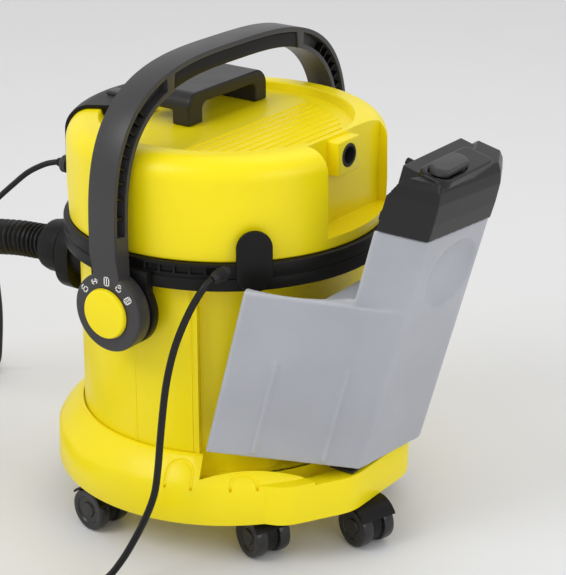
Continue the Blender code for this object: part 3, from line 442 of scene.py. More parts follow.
TANK = plastic("tank_polyethylene", (0.42, 0.435, 0.475), 0.36, 700.0, 0.10, 0.07,
               Subsurface_Weight=0.35, Subsurface_Radius=(0.020, 0.020, 0.024), Subsurface_Scale=0.6,
               Coat_Weight=0.10)


def dress(obj, material):
    """Give a piece its one material."""
    obj.data.materials.clear()
    obj.data.materials.append(material)
    return obj


def place(obj, body, material, slot, *nodes, seated=False):
    """Move a piece from the drum's frame to the model's, then tie it to its body."""
    matrix = Matrix.Translation((DRUM_X, 0, 0))
    if seated:
        about = Matrix.Translation(TILT_AT)
        matrix = matrix @ about @ Matrix.Rotation(TILT, 4, "Y") @ about.inverted()
    obj.data.transform(matrix)
    dress(obj, material)
    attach(obj, body)
    if nodes:
        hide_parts(*nodes)
    return obj


def shift(points):
    """Points from the drum's frame as vectors in the model's."""
    return [Vector(p) + Vector((DRUM_X, 0, 0)) for p in points]


# ---------------------------------------------------------------- camera, lights and floor


def make_camera():
    azimuth = math.radians(37.5)
    reach, height = 1.692, 0.9024
    pitch, yaw = 0.382, 0.0326
    camera = bpy.data.objects.new("camera", bpy.data.cameras.new("camera"))
    camera.location = (DRUM_X + reach * math.sin(azimuth), -reach * math.cos(azimuth), height)
    camera.rotation_euler = (math.pi / 2 - pitch, 0, azimuth - yaw)
    camera.data.lens = 112.1
    camera.data.sensor_width = 36.0
    camera.data.clip_start = 0.05
    bpy.context.scene.collection.objects.link(camera)
    bpy.context.scene.camera = camera


def area_light(name, spot, target, size, power):
    data = bpy.data.lights.new(name, "AREA")
    data.shape = "DISK"
    data.size = size
    data.energy = power
    lamp = bpy.data.objects.new(name, data)
    lamp.location = spot
    lamp.rotation_euler = (Vector(target) - Vector(spot)).to_track_quat("-Z", "Y").to_euler()
    bpy.context.scene.collection.objects.link(lamp)


def make_stage():
    bpy.context.scene.view_settings.view_transform = "Standard"
    floor = box("floor", (-16.0, -16.0, -0.012), (16.0, 16.0, -0.0005))
    dress(floor, plastic("pale_floor", (0.80, 0.80, 0.80), 0.75, 60.0, 0.02, 0.004))
    world = bpy.data.worlds.new("studio")
    bpy.context.scene.world = world
    world.use_nodes = True
    world.node_tree.nodes["Background"].inputs["Color"].default_value = (0.86, 0.86, 0.87, 1)
    world.node_tree.nodes["Background"].inputs["Strength"].default_value = 0.86
    area_light("key", (-0.8, -1.9, 2.1), (0, 0, 0.2), 1.5, 22)
    area_light("fill", (2.3, -0.6, 1.2), (0.1, 0, 0.25), 1.4, 9)
    area_light("top", (0.2, 0.9, 2.4), (0, 0, 0.3), 1.6, 8)


# ---------------------------------------------------------------- free cords


def on_circle(centre, radius, degrees, z):
    a = math.radians(degrees)
    return (centre[0] + radius * math.cos(a), centre[1] + radius * math.sin(a), z)


def coil_points(centre, outer, pitch, turns, layers, start, low, share=16):
    """A winding in flat layers: inwards on the first, outwards on the next, and so on."""
    points = []
    angle = start
    rise = 60.0                 # degrees it takes to climb onto the next layer
    for layer in range(layers):
        inwards = layer % 2 == 0
        count = turns * share
        for i in range(count):
            t = i / count
            reach = outer - pitch * turns * (t if inwards else 1 - t)
            points.append(on_circle(centre, reach, angle + 360.0 * turns * t, low + pitch * layer))
        angle += 360.0 * turns
        if layer < layers - 1:
            reach = outer - (pitch * turns if inwards else 0.0)
            for i in range(4):
                t = (i + 0.5) / 4
                ease = t * t * (3 - 2 * t)
                points.append(on_circle(centre, reach, angle + rise * t, low + pitch * (layer + ease)))
            angle += rise
    return points, angle


def make_tie(name, centre, degrees, radii, heights, body):
    """Soft strap wound once round the strands of a coil."""
    (near, far), (low, high) = radii, heights
    a = math.radians(degrees)
    corner = 0.004
    section = [(far, low + corner), (far - corner, low), (near + corner, low), (near, low + corner),
               (near, high - corner), (near + corner, high), (far - corner, high), (far, high - corner),
               (far, low + corner)]
    path = [Vector((centre[0] + r * math.cos(a), centre[1] + r * math.sin(a), z)) for r, z in section]
    path = shift(smooth_path(path, 0.0015))
    tie = dress(skin(name, path, [0.0006] * len(path), 8), RUBBER)
    stretch = Vector((-math.sin(a), math.cos(a), 0))
    middle = sum(path, Vector()) / len(path)
    for vertex in tie.data.vertices:
        offset = (vertex.co - middle).dot(stretch)
        vertex.co += stretch * offset * 4
    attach(tie, body)
    return tie


def suction_path(step):
    """Down from the port to the floor, once round, and in to the cuff."""
    start_radius, end_radius = SUCTION_WIND
    steps = 30
    loop = []
    for i in range(steps + 1):
        t = i / steps
        radius = start_radius + (end_radius - start_radius) * t
        loop.append(on_circle(SUCTION_COIL, radius, SUCTION_START + 360.0 * t, SUCTION_LIE))
    hub = on_circle(SUCTION_COIL, end_radius - CUFF_BEND, SUCTION_START, SUCTION_LIE)
    for x, y in arc(hub, CUFF_BEND, SUCTION_START, SUCTION_START + 100.0, 10)[1:]:
        loop.append((x, y, SUCTION_LIE))
    return smooth_path([*SUCTION_ROUTE, SUCTION_LANDING, *loop], step)


def make_suction_hose():
    """Corrugated hose, lying in one loop on the floor."""
    step = 0.0013
    path = suction_path(step)
    radii = []
    for i in range(len(path)):
        wave = math.sin(2 * math.pi * i * step / CORRUGATION)
        radii.append(RIB_MIDDLE + RIB_DEPTH * max(-1.0, min(1.0, 1.6 * wave)))
    path = shift(path)
    hose = skin("suction_hose_skin", path, radii, 22)
    dress(hose, CORD)
    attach(hose, "base")
    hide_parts("suction_hose", "suction_hose_coil")
    cuff = make_cuff(path[-1], (path[-1] - path[-6]).normalized())


def make_cuff(end, along):
    """Smooth sleeve with a collar, pushed over the end of the suction hose."""
    profile = ((-0.0120, 0.0180), (-0.0115, 0.0192), (0.0, 0.0192), (0.002, 0.0185), (0.030, 0.0180),
               (0.031, 0.0170), (0.060, 0.0165), (0.068, 0.0165), (0.0685, 0.0120))
    cuff = skin("suction_cuff_skin", [end + along * d for d, _ in profile], [r for _, r in profile], 40)
    dress(cuff, BLACK)
    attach(cuff, "base")
    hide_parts("suction_hose_cuff")
    return cuff


def make_spray_hose():
    """Thin hose from the head: down, wound up under a strap, and out to its fitting."""
    low = SPRAY_R + OFF_FLOOR
    coil, last = coil_points(SPRAY_COIL, SPRAY_WIND, 2 * SPRAY_R, 3, 2, SPRAY_START, low)
    x, y = SPRAY_COIL
    tail = [on_circle(SPRAY_COIL, SPRAY_WIND, last + d, low + 2 * SPRAY_R * (1 + min(1.0, d / 60.0)))
            for d in range(20, 285, 24)]
    tail += [(x + 0.0060, y + 0.0432, 0.0146), (x - 0.0070, y + 0.0470, 0.0105),
             (x - 0.0200, y + 0.0508, 0.0058)]
    path = shift(smooth_path([*SPRAY_ROUTE, *coil, *tail], 0.004))
    hose = dress(wire("spray_hose_skin", path, SPRAY_R), CORD)
    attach(hose, "head")
    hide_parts("spray_hose", "spray_hose_coil")
    tie = make_tie("spray_hose_tie", SPRAY_COIL, *SPRAY_TIE, "head")


def make_mains_lead():
    """Mains lead from the gland: down to the floor, wound up under a strap, and out to its plug."""
    low = LEAD_R + OFF_FLOOR
    coil, last = coil_points(LEAD_COIL, LEAD_WIND, 2 * LEAD_R, 4, 4, LEAD_START, low)
    x, y = LEAD_COIL
    turn_to = (270.0 - last) % 360.0
    tail = [on_circle(LEAD_COIL, LEAD_WIND, last + d, low + 6 * LEAD_R)
            for d in range(0, int(turn_to) + 1, 20)]
    tail += [(x + 0.0260, y - 0.0530, 0.0230), (x + 0.0450, y - 0.0400, 0.0200),
             (x + 0.0610, y - 0.0335, 0.0190)]
    path = shift(smooth_path([*LEAD_ROUTE, *coil, *tail], 0.005))
    lead = dress(wire("mains_lead_skin", path, LEAD_R), CORD)
    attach(lead, "head")
    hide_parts("mains_cable", "mains_cable_coil")
    tie = make_tie("mains_lead_tie", LEAD_COIL, *LEAD_TIE, "head")


# ---------------------------------------------------------------- base and castors


def melt(obj, voxel, rounds=4):
    """Round every edge a little, the way a moulded part leaves its mould."""
    remesh = obj.modifiers.new("melt", "REMESH")
    remesh.mode = "VOXEL"
    remesh.voxel_size = voxel
    relax = obj.modifiers.new("relax", "SMOOTH")
    relax.factor = 0.5
    relax.iterations = rounds
    apply(obj)
    smooth(obj.data, 50.0)
    return obj


def rear_outline(inset=0.0):
    """Plan of the base's squared end under the tank."""
    side = [(0.040, 0.1250), (0.085, 0.1370), (0.151, 0.113), (0.188, 0.050)]
    side = [(x - inset, y - inset) for x, y in side]
    return [(x, -y) for x, y in side] + side[::-1]


def arch_groove(middle, rise):
    """Cutter for a groove that climbs the flare, turns over and comes down again."""
    knee = rise - GROOVE_HALF
    line = [(GROOVE_HALF, -0.0060), (GROOVE_HALF, min(knee, 0.0) - 0.0010)]
    line += arc((0.0, knee), GROOVE_HALF, 0, 180, 15)
    line += [(-s, h) for s, h in line[1::-1]]
    path = []
    for s, h in line:
        slope, drop = max(h, 0.0), min(h, 0.0)
        radius = FLARE_FOOT[0] + slope * FLARE_SLOPE[0]
        z = FLARE_FOOT[1] + slope * FLARE_SLOPE[1] + drop
        path.append(Vector(on_circle((0, 0), radius, middle - math.degrees(s / radius), z)))
    path = smooth_path(path, 0.0015)
    return skin("flare_groove", path, [0.0019] * len(path), 10)


def make_base():
    """Ring with a sloping flare and a squared end, cut down where the tank stands."""
    outer = [
        (0.1517, 0.111), (0.1535, 0.111), (0.1560, 0.1098), (0.1740, 0.0902), (0.1755, 0.0875),
        (0.1780, 0.0830), (0.1790, 0.0490), (0.1780, 0.0472), (0.1760, 0.0472), (0.1755, 0.0800),
        (0.1720, 0.0845), (0.1517, 0.1060),
    ]
    base = turned("base_shell", outer)
    rear = slab("base_rear", rounded(rear_outline(), 0.014), 0.0474, 0.0885)
    cut(rear, rod("rear_round", (0, 0, 0.02), (0, 0, 0.2), 0.1725, segments=ROUND))
    inside = slab("rear_inside", rounded(rear_outline(0.003), 0.011), 0.03, 0.0815)
    cut(rear, inside)
    base = unite(base, rear)
    ledge = [(0.150, 0.0855), (0.250, 0.0855), (0.250, 0.130), (0.150, 0.130)]
    cut(base, sector("base_ledge", ledge, (-27.0, 52.0), 60),
        slab("tank_foot", inset_outline(tank_outline(), -0.0016), 0.0855, 0.130))
    cut(base, *[arch_groove(middle, rise) for middle, rise in GROOVES])
    return place(soften(base, 0.0009, 2, 38), "base", YELLOW, "yellow", "base_chassis")


def make_rest_pad():
    pad = soften(box("rest_pad_skin", (0.158, -0.048, 0.0858), (0.185, 0.048, 0.0893)), 0.0012, 3)
    place(pad, "base", RUBBER, "rubber", "tank_rest_pad")


def make_castors():
    for i, (x, y, turned_by) in enumerate(CASTORS, start=1):
        wheels = []
        for side in (-1, 1):
            wheel = turned(f"castor_{i}_wheel_{side}", WHEEL_PROFILE, 64, closed=False)
            wheel.data.transform(Matrix.Rotation(math.radians(-90 * side), 4, "X"))
            wheels.append(wheel)
        wheels.append(rod("axle", (0, -0.0100, 0), (0, 0.0100, 0), 0.0030, segments=24))
        pair = gather(f"castor_{i}_wheels_skin", wheels)
        pair.data.transform(Matrix.Translation((TRAIL, 0, WHEEL_R)))
        web = rod("web", (TRAIL, -0.0056, WHEEL_R), (TRAIL, 0.0056, WHEEL_R), 0.0188, segments=48)
        neck = soften(box("neck", (-0.009, -0.0057, WHEEL_R), (TRAIL + 0.002, 0.0057, 0.0455)), 0.0012)
        hood = rod("hood", (TRAIL, -0.0200, WHEEL_R), (TRAIL, 0.0200, WHEEL_R), 0.0246, segments=64)
        cut(hood, rod("hollow", (TRAIL, -0.03, WHEEL_R), (TRAIL, 0.03, WHEEL_R), 0.0232, segments=64),
            box("front", (-0.05, -0.03, -0.01), (TRAIL - 0.019, 0.03, 0.06)),
            box("low", (-0.05, -0.03, -0.01), (0.08, 0.03, 0.034)))
        stem = rod("stem", (0, 0, 0.040), (0, 0, 0.0590), 0.0050, segments=32)
        yoke = gather(f"castor_{i}_yoke_skin", [web, neck, hood, stem])
        seat = Matrix.Translation((x, y, 0)) @ Matrix.Rotation(math.radians(turned_by), 4, "Z")
        for obj in (pair, yoke):
            obj.data.transform(seat)
        place(pair, f"castor_{i}_roll", GLOSSY_BLACK, "black", f"castor_{i}_wheels")
        place(yoke, f"castor_{i}_swivel", BLACK, "black", f"castor_{i}_yoke")


# ---------------------------------------------------------------- container and hose port


def make_container():
    """Open drum with a pocket in its side for the tank."""
    outer = [
        (0.1480, 0.2885), (0.1568, 0.2885), (0.1575, 0.2878), (0.1575, 0.2848), (0.1568, 0.2841),
        (0.1485, 0.2805), (0.1505, 0.0685), (0.1500, 0.0660), (0.1465, 0.0645), (0.0, 0.0645),
        (0.0, 0.0675), (0.1435, 0.0675), (0.1475, 0.0705), (0.1455, 0.2800), (0.1455, 0.2885),
    ]
    drum = turned("container_shell", outer, closed=False)
    ring = [(0.140, 0.0875), (0.220, 0.0875), (0.220, 0.2785), (0.140, 0.2785)]
    cutter = sector("pocket", ring, POCKET_ANGLES, 90)
    unite(cutter, box("pocket_flat", *POCKET_FLAT))
    cut(drum, cutter)
    skin_ring = [(0.1370, 0.0845), (0.1515, 0.0845), (0.1515, 0.2815), (0.1370, 0.2815)]
    wall = sector("pocket_wall", skin_ring, (POCKET_ANGLES[0] - 1.3, POCKET_ANGLES[1] + 1.3), 90)
    flat = box("pocket_flat_wall", (0.1090, -0.087, 0.0845), (0.1500, 0.087, 0.2815))
    cut(flat, turned("around", [(0.1512, 0.05), (0.30, 0.05), (0.30, 0.30), (0.1512, 0.30)]))
    unite(wall, flat)
    inner = sector("pocket_inner", ring, POCKET_ANGLES, 90)
    unite(inner, box("pocket_inner_flat", *POCKET_FLAT))
    cut(wall, inner)
    unite(drum, wall)
    cut(drum, rod("port_hole", (-0.09, HOSE_Y, HOSE_Z), (-0.20, HOSE_Y, HOSE_Z), 0.0238, segments=64))
    for degrees in (-90.0, -66.6):
        a = math.radians(degrees)
        out = Vector((math.cos(a), math.sin(a), 0))
        rib = rod("mould_line", out * 0.1502 + Vector((0, 0, 0.112)), out * 0.1484 + Vector((0, 0, 0.2780)),
                  0.0009, segments=12)
        unite(drum, rib)
    return place(drum, "base", YELLOW, "yellow", "waste_container")


def make_hose_port_skin():
    """Flange and socket in the drum's wall, and the collar that turns on them."""
    flange = slab("port_flange", pill((HOSE_Y, 0.2470), 0.028, 0.0140, 33), -0.1525, -0.1350, "X")
    cut(flange, rod("port_drum", (0, 0, 0.18), (0, 0, 0.30), 0.1517, segments=ROUND))
    socket = rod("port_socket", (-0.1000, HOSE_Y, HOSE_Z), (-0.1500, HOSE_Y, HOSE_Z), 0.0235, segments=64)
    unite(flange, socket)
    cut(flange, rod("port_bore", (-0.08, HOSE_Y, HOSE_Z), (-0.17, HOSE_Y, HOSE_Z), 0.0175, segments=64))
    place(soften(flange, 0.0012, 3), "base", BLACK, "black", "hose_port")
    steps = [(0.0197, 0.0), (0.0275, 0.0), (0.0285, 0.0010), (0.0285, 0.0060), (0.0277, 0.0070),
             (0.0277, 0.0180), (0.0262, 0.0245), (0.0250, 0.0250), (0.0197, 0.0250)]
    collar = turned("collar_skin", steps, 96)
    spot = Matrix.Translation((-0.1530, HOSE_Y, HOSE_Z))
    collar.data.transform(spot @ Matrix.Rotation(-math.pi / 2, 4, "Y"))
    place(collar, "collar", BLACK, "black", "hose_collar")


# ---------------------------------------------------------------- head


def make_ring_skin():
    """Black ring under the cover, with the bail's two ears and a row of vents."""
    profile = [
        (0.1530, 0.3105), (0.1623, 0.3105), (0.1632, 0.3100), (0.1635, 0.3090), (0.1635, 0.2990),
        (0.1622, 0.2984), (0.1622, 0.2966), (0.1635, 0.2960), (0.1635, 0.2848), (0.1628, 0.2841),
        (0.1582, 0.2841), (0.1582, 0.2916), (0.0460, 0.2916), (0.0460, 0.2966), (0.1530, 0.2966),
    ]
    ring = turned("ring_skin", profile)
    for side in (-1, 1):
        near, far = ((0.003, side * y, HUB_Z) for y in (0.1600, 0.1685))
        ear = rod("ear", near, far, 0.037, segments=72)
        web = box("web", (-0.034, min(near[1], far[1]), HUB_Z), (0.034, max(near[1], far[1]), 0.3000))
        boss = rod("boss", (0, side * 0.1600, HUB_Z), (0, side * 0.1855, HUB_Z), 0.0113, segments=48)
        unite(ring, ear, web, boss)
    vents = []
    for k in range(VENTS):
        vent = box("vent", (0.1600, -0.0062, 0.3006), (0.1700, 0.0062, 0.3074))
        vents.append(turn(vent, VENTS_FROM - VENT_PITCH * k))
    cut(ring, gather("vents", vents))
    place(soften(ring, 0.0007, 2), "head", BLACK, "black", "head_ring")


def make_cover_skin():
    """Domed cover with a ribbed tray on top and a flat recess for the tank's cap."""
    profile = [
        (0.0, TRAY_Z), (0.1205, TRAY_Z), (0.1228, 0.3992), (0.1235, 0.4015), (0.1245, 0.4062),
        (0.1258, 0.4075), *arc(SHOULDER_AT, SHOULDER, 88, 0, 14), (0.1585, 0.345), (0.1575, 0.3118),
        (0.1568, 0.3108), (0.1545, 0.3108), (0.1555, 0.345), (0.1548, 0.3855),
        *arc(SHOULDER_AT, SHOULDER - 0.003, 0, 88, 14), (0.1200, 0.3955), (0.0, 0.3955),
    ]
    cover = turned("cover_skin", profile, closed=False)
    cut(cover, box("recess", *RECESS))
    wall = box("recess_wall", (0.1245, -0.048, 0.3190), (0.1578, 0.081, 0.4072))
    cut(wall, box("recess_space", *RECESS))
    outside = turned("outside", [(0.1578, 0.30), (0.30, 0.30), (0.30, 0.45), (0.1578, 0.45)])
    cut(wall, outside)
    shoulder_cut = turned("shoulder_cut", [*arc(SHOULDER_AT, SHOULDER - 0.0005, 90, 0, 14), (0.30, 0.3855),
                                           (0.30, 0.45), (0.1358, 0.45)])
    cut(wall, shoulder_cut)
    unite(cover, wall)
    x, y, z = COUPLING
    unite(cover, soften(box("coupling_boss", (0.1262, y - 0.0180, z - 0.0175), (x, y + 0.0180, z + 0.0160)),
                        0.0015, 3))
    cut(cover, rod("coupling_hole", (0.1235, y, z), (0.16, y, z), 0.0118, segments=48),
        rod("spray_hole", (-0.12, SPRAY_Y, SPRAY_Z), (-0.17, SPRAY_Y, SPRAY_Z), 0.0108, segments=48))
    for y in (SWITCH_Y, -SWITCH_Y):
        cut(cover, box("well", (-0.1325, y - 0.0085, 0.3900), (-0.1075, y + 0.0085, 0.4300)))
    ribs = []
    for k in range(9):
        x = 0.0250 + 0.0098 * k
        reach = math.sqrt(max(0.0, 0.1165 ** 2 - x * x))
        ribs.append(box("tray_rib", (x - 0.0013, -reach * 0.86, 0.3975), (x + 0.0013, reach * 0.86, 0.3996)))
    for k in range(3):
        x = -0.0980 + 0.0095 * k
        ribs.append(box("tray_rib", (x - 0.0013, -0.0560, 0.3975), (x + 0.0013, -0.0100, 0.3996)))
    unite(cover, *ribs)
    place(cover, "head", YELLOW, "yellow", "head_cover")


def make_head_fittings():
    """Tank coupling, cable tab, mains gland and the spray hose's sleeve."""
    x, y, z = COUPLING
    bush = turned("bush_skin", [(0.0, 0.0062), (0.0085, 0.0062), (0.0085, 0.0233), (0.0092, 0.0238),
                                (0.0108, 0.0238), (0.0115, 0.0230), (0.0115, 0.0057), (0.0, 0.0057)],
                  64, closed=False)
    bush.data.transform(Matrix.Translation((0.1180, y, z)) @ Matrix.Rotation(math.pi / 2, 4, "Y"))
    place(bush, "head", RUBBER, "rubber", "tank_coupling_bush")
    tab = slab("tab_skin", pill((0.0, 0.3140), 0.0170, 0.0260, 33), 0.1640, 0.1680, "X")
    soften(turn(tab, -44.3), 0.0012, 3)
    place(tab, "head", BLACK, "black", "cable_tab")
    root, tip = Vector((0.0950, -0.1280, 0.3035)), Vector((0.0931, -0.1460, 0.2999))
    path = [root.lerp(tip, t) for t in (0.0, 0.15, 0.30, 0.32, 0.45, 0.47, 0.60, 0.62, 0.75, 0.77, 0.95, 1.0)]
    radii = [0.0078, 0.0077, 0.0074, 0.0066, 0.0070, 0.0060, 0.0065, 0.0055, 0.0060, 0.0050, 0.0048, 0.0042]
    gland = skin("gland_skin", path, radii, 36)
    cut(gland, rod("gland_ring", (0, 0, 0.27), (0, 0, 0.33), 0.1643, segments=ROUND))
    place(gland, "head", RUBBER, "rubber", "cable_gland")
    sleeve = turned("sleeve_skin", [(0.0064, 0.0), (0.0088, 0.0), (0.0092, 0.0006), (0.0092, 0.0020),
                                    (0.0086, 0.0024), (0.0092, 0.0030), (0.0092, 0.0062), (0.0086, 0.0070),
                                    (0.0064, 0.0070)], 64)
    spot = Matrix.Translation((-0.1500, SPRAY_Y, SPRAY_Z))
    sleeve.data.transform(spot @ Matrix.Rotation(-math.pi / 2, 4, "Y"))
    place(sleeve, "sleeve", SATIN, "black", "coupling_sleeve")


def make_grip_skin():
    """Small carry grip in the tray: one slim leg, one broad one and a rounded bridge."""
    middle, half, foot, top = 0.026, 0.064, 0.3988, 0.4320
    outer = [(middle + half, foot), *arc((middle + half - 0.018, top - 0.018), 0.018, 0, 80, 12),
             *arc((middle - half + 0.014, top - 0.015), 0.014, 100, 180, 12), (middle - half, foot)]
    inner = [(middle - half + 0.022, foot), *arc((middle - half + 0.030, top - 0.021), 0.008, 180, 100, 9),
             *arc((middle + half - 0.027, top - 0.021), 0.008, 80, 0, 9), (middle + half - 0.019, foot)]
    grip = slab("grip_skin", outer + inner, -0.0800, -0.0170, "X")
    cut(grip, box("slim", (-0.0900, -0.0500, 0.3900), (-0.0380, -0.0100, 0.4130)))
    melt(grip, 0.0011, 7)
    place(grip, "head", GRIP_GREY, "black", "carry_grip")


def make_panel_skin():
    """Control panel over the cover's shoulder, with two rocker switches."""
    over = [(0.0945, 0.4117), *arc(SHOULDER_AT, SHOULDER + 0.0042, 85, 0, 14), (0.1624, 0.3560)]
    under = [(0.1592, 0.3560), *arc(SHOULDER_AT, SHOULDER + 0.0009, 0, 85, 14), (0.1229, 0.4084),
             (0.1229, 0.4020), (0.0945, 0.4020)]
    panel = sector("panel_skin", over + under, (150.0, 210.0), 60)
    for name, y in (("vacuum_switch", SWITCH_Y), ("spray_switch", -SWITCH_Y)):
        cut(panel, box("well", (-0.1325, y - 0.0085, 0.4000), (-0.1075, y + 0.0085, 0.4300)))
        rocker = soften(box(f"{name}_skin", (-0.1318, y - 0.0078, 0.4030), (-0.1082, y + 0.0078, 0.4150)),
                        0.0016, 4)
        place(rocker, name.replace("switch", "rocker"), SATIN, "graphite", name)
    place(soften(panel, 0.0010, 3), "head", BLACK, "black", "control_panel")


# ---------------------------------------------------------------- bail and its hubs


def arch(inset, start, stop, count):
    """Points of the bail's flattened arch, as (y, z), moved inwards by the inset."""
    points = []
    for i in range(count):
        a = math.radians(start + (stop - start) * i / (count - 1))
        c, s = math.cos(a), math.sin(a)
        u = math.copysign(abs(c) ** (2 / 3.2), c)
        v = abs(s) ** (2 / 3.2)
        points.append(((0.1905 - inset) * u, 0.315 + (0.1675 - inset) * v))
    return points


def make_bail_skin():
    """Strap between two hub discs, with finned channels down its sides and a grip on top."""
    strap, half, knee = 0.0195, 0.0155, HUB_Z + 0.0390
    left, right = [(-HUB_OUT, knee), (-HUB_OUT, HUB_Z)], [(HUB_OUT, HUB_Z), (HUB_OUT, knee)]
    outer = [*right, *arch(0.0, 0, 180, 101), *left]
    inner = [(-HUB_IN, HUB_Z), *arch(strap, 180, 0, 101), (HUB_IN, HUB_Z)]
    bail = slab("bail_skin", outer + inner, -half, half, "X")
    for side in (-1, 1):
        over = [p for p in arch(0.0042, 2, 178, 141) if p[0] * side > 0.106]
        below = [p for p in arch(strap - 0.0042, 2, 178, 141) if p[0] * side > 0.106]
        cut(bail, slab("channel", over + below[::-1], 0.0050, 0.0300, "X"))
    slot = [(0.1003, 0.44), *[p for p in arch(0.0050, 20, 160, 101) if abs(p[0]) < 0.100], (-0.1003, 0.44)]
    cut(bail, slab("grip_slot", slot, -0.03, 0.03, "X"))
    for side in (-1, 1):
        near, far = ((0, side * y, HUB_Z) for y in (HUB_IN, HUB_OUT))
        disc = soften(rod("hub_disc", near, far, 0.0387, segments=96), 0.0018, 3)
        unite(bail, disc)
        cut(bail, rod("hub_bore", (0, side * 0.16, HUB_Z), (0, side * 0.20, HUB_Z), 0.0119, segments=48))
    place(soften(bail, 0.0016, 3, 40), "bail", SATIN, "graphite", "bail_handle")
    fins = []
    for degrees in (*range(6, 50, 5), *range(134, 178, 5)):
        a, b = arch(0.0046, degrees, degrees + 0.6, 2)
        c, d = arch(strap - 0.0046, degrees + 0.6, degrees, 2)
        if abs(a[0]) > 0.110:
            fins.append(slab("fin", [a, b, c, d], 0.0045, 0.0138, "X"))
    place(gather("bail_fins", fins), "bail", BLACK, "graphite")
    over = [p for p in arch(0.0053, 20, 160, 121) if abs(p[0]) < 0.100]
    below = [p for p in arch(strap, 160, 20, 121) if abs(p[0]) < 0.100]
    grip = slab("grip_insert", over + below, -half + 0.001, half - 0.001, "X")
    place(soften(grip, 0.0016, 3, 40), "bail", BLACK, "black", "bail_grip")
    for name, side in (("hub_cap_left", -1), ("hub_cap_right", 1)):
        cap = rod(f"{name}_skin", (0, side * 0.1873, HUB_Z), (0, side * 0.1925, HUB_Z), 0.0248, 0.0236, 96)
        place(soften(cap, 0.0014, 4), "bail", YELLOW, "yellow", name)


def stroke(x0, z0, x1, z1, width, low, high):
    """One straight line of a mark, as a thin raised bar."""
    start, end = Vector((x0, z0)), Vector((x1, z1))
    along = (end - start).normalized() * width / 2
    side = Vector((-along.y, along.x))
    corners = (start - along - side, end + along - side, end + along + side, start - along + side)
    return slab("stroke", [tuple(c) for c in corners], low, high, "Y")


def make_marks():
    """Plain position marks printed round the upper edge of the left hub."""
    prints = []
    for degrees, strokes in MARKS:
        a = math.radians(degrees)
        for x0, z0, x1, z1 in strokes:
            ends = []
            for u, v in ((x0, z0), (x1, z1)):
                u, v = u * MARK_SCALE, v * MARK_SCALE + MARK_RADIUS
                ends += [u * math.cos(a) + v * math.sin(a), HUB_Z - u * math.sin(a) + v * math.cos(a)]
            prints.append(stroke(*ends, MARK_WIDTH, -0.18720, -0.1866))
    place(gather("hub_marks", prints), "bail", WHITE, "white")


# ---------------------------------------------------------------- fresh-water tank


def tank_outline():
    """Plan of the tank's body."""
    ends = arc((0, 0), 0.1430, -41.0, -61.5, 6)
    inner = [(0.1795, 0.0900), (0.1150, 0.0830), (0.1150, -0.0948)]
    return [(0.0790, -0.1500), (0.1915, -0.0470), (0.2000, 0.0500), *inner, *ends]


def neck_outline():
    """Plan of the tank's neck and its cap."""
    ends = arc((0, 0), 0.1665, 27.5, -21.5, 8)
    return [(0.1530, -0.0705), (0.1915, -0.0470), (0.2000, 0.0500), (0.1846, 0.0800), *ends]


def make_tank_skin():
    """Broad low body with a neck, hollowed for the drum behind it and for a finger in front."""
    form = slab("tank_skin", tank_outline(), 0.0940, 0.352)
    cut(form, rod("rim_clearance", (0, 0, 0.258), (0, 0, 0.277), 0.1590, segments=96),
        rod("ring_clearance", (0, 0, 0.277), (0, 0, 0.42), 0.1655, segments=96))
    kept = [(0.1400, -0.0785), (0.1530, -0.0705), (0.1915, -0.0468), (0.2600, -0.0440),
            (0.2600, 0.0800), (0.1400, 0.0800)]
    above = box("above", (0.0, -0.3, 0.276), (0.3, 0.3, 0.45))
    cut(above, slab("neck", kept, 0.20, 0.50))
    cut(form, above)
    for x, y in ((0.112, -0.120), (0.163, -0.073)):
        unite(form, rod("tank_rib", (x, y, 0.1000), (x, y, 0.2060), 0.0030, 0.0022, 20))
    bm = bmesh.new()
    size = Matrix.Diagonal((0.0190, 0.0430, 0.0420, 1))
    bmesh.ops.create_uvsphere(bm, u_segments=48, v_segments=30, radius=1.0,
                              matrix=Matrix.Translation((0.2050, 0.008, 0.302)) @ size)
    cut(form, from_bmesh("finger_dent", bm))
    melt(form, 0.0017, 7)
    place(form, "tank", TANK, "tank", "fresh_water_tank", seated=True)


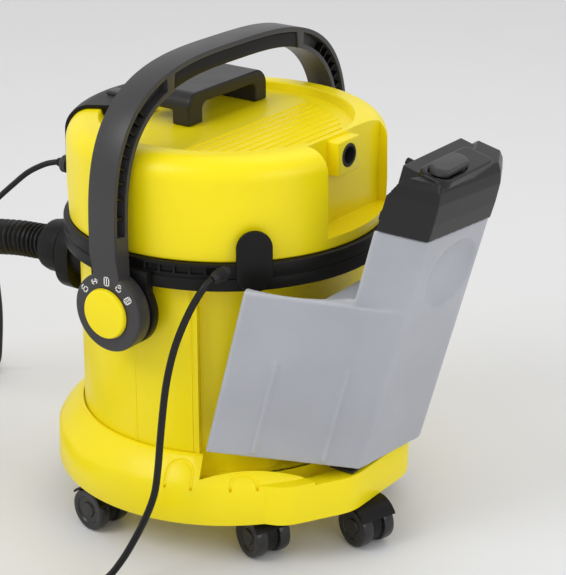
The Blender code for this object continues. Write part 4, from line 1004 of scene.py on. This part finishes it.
def make_cap_skin():
    """Cap over the neck, its press button, and the spigot that enters the head's coupling."""
    rings = []
    steps = ((-0.0012, 0.3525), (-0.0016, 0.3700), (-0.0008, 0.3900), (0.0020, 0.4010), (0.0065, 0.4085))
    for inset, z in steps:
        rings.append([(x, y, z) for x, y in inset_outline(neck_outline(), inset)])
    cap = loft("cap_skin", rings)
    unite(cap, box("cap_bulge", (0.1430, -0.0380, 0.3580), (0.1700, 0.0640, 0.4060)))
    unite(cap, slab("plateau", rounded([(0.1600, -0.0420), (0.1925, -0.0420), (0.1925, 0.0420),
                                        (0.1600, 0.0420)], 0.008), 0.4050, 0.4128))
    cut(cap, slab("button_well", pill(BUTTON, 0.0106, 0.0280, 33), 0.4092, 0.4300))
    melt(cap, 0.0010, 5)
    place(cap, "cap", CAP_BLACK, "black", "tank_cap", seated=True)
    button = soften(slab("button_skin", pill(BUTTON, 0.0100, 0.0280, 33), 0.4120, 0.4203), 0.0018, 4)
    place(button, "button", SATIN, "graphite", "cap_button", seated=True)
    x, y, z = (0.0, COUPLING[1], COUPLING[2])
    spigot = gather("spigot_skin", [
        rod("spigot", (0.1427, y, z), (0.1245, y, z), 0.0040, 0.0036, 40),
        rod("spigot_ring", (0.1370, y, z), (0.1340, y, z), 0.0058, segments=40)])
    place(spigot, "cap", BLACK, "black", "cap_spigot", seated=True)


def dress_frame():
    """Inner pieces keep their CAD shape and get the same materials as the rest."""
    looks = {"yellow": YELLOW, "black": BLACK, "graphite": SATIN, "tank": TANK, "rubber": RUBBER,
             "steel": STEEL, "foam": FOAM, "brass": BRASS, "white": WHITE_PLASTIC}
    slots = {part["node"]: part["material_slot"] for part in frame["record"]["subparts"]}
    for name, node in frame["nodes"].items():
        for material_slot in node.material_slots:
            material_slot.link = "OBJECT"
            material_slot.material = looks[slots[name]]


# ---------------------------------------------------------------- run

make_camera()
make_stage()
make_suction_hose()
make_spray_hose()
make_mains_lead()
dress_frame()
make_base()
make_rest_pad()
make_castors()
make_container()
make_hose_port_skin()
make_ring_skin()
make_cover_skin()
make_head_fittings()
make_grip_skin()
make_panel_skin()
make_bail_skin()
make_marks()
make_tank_skin()
make_cap_skin()
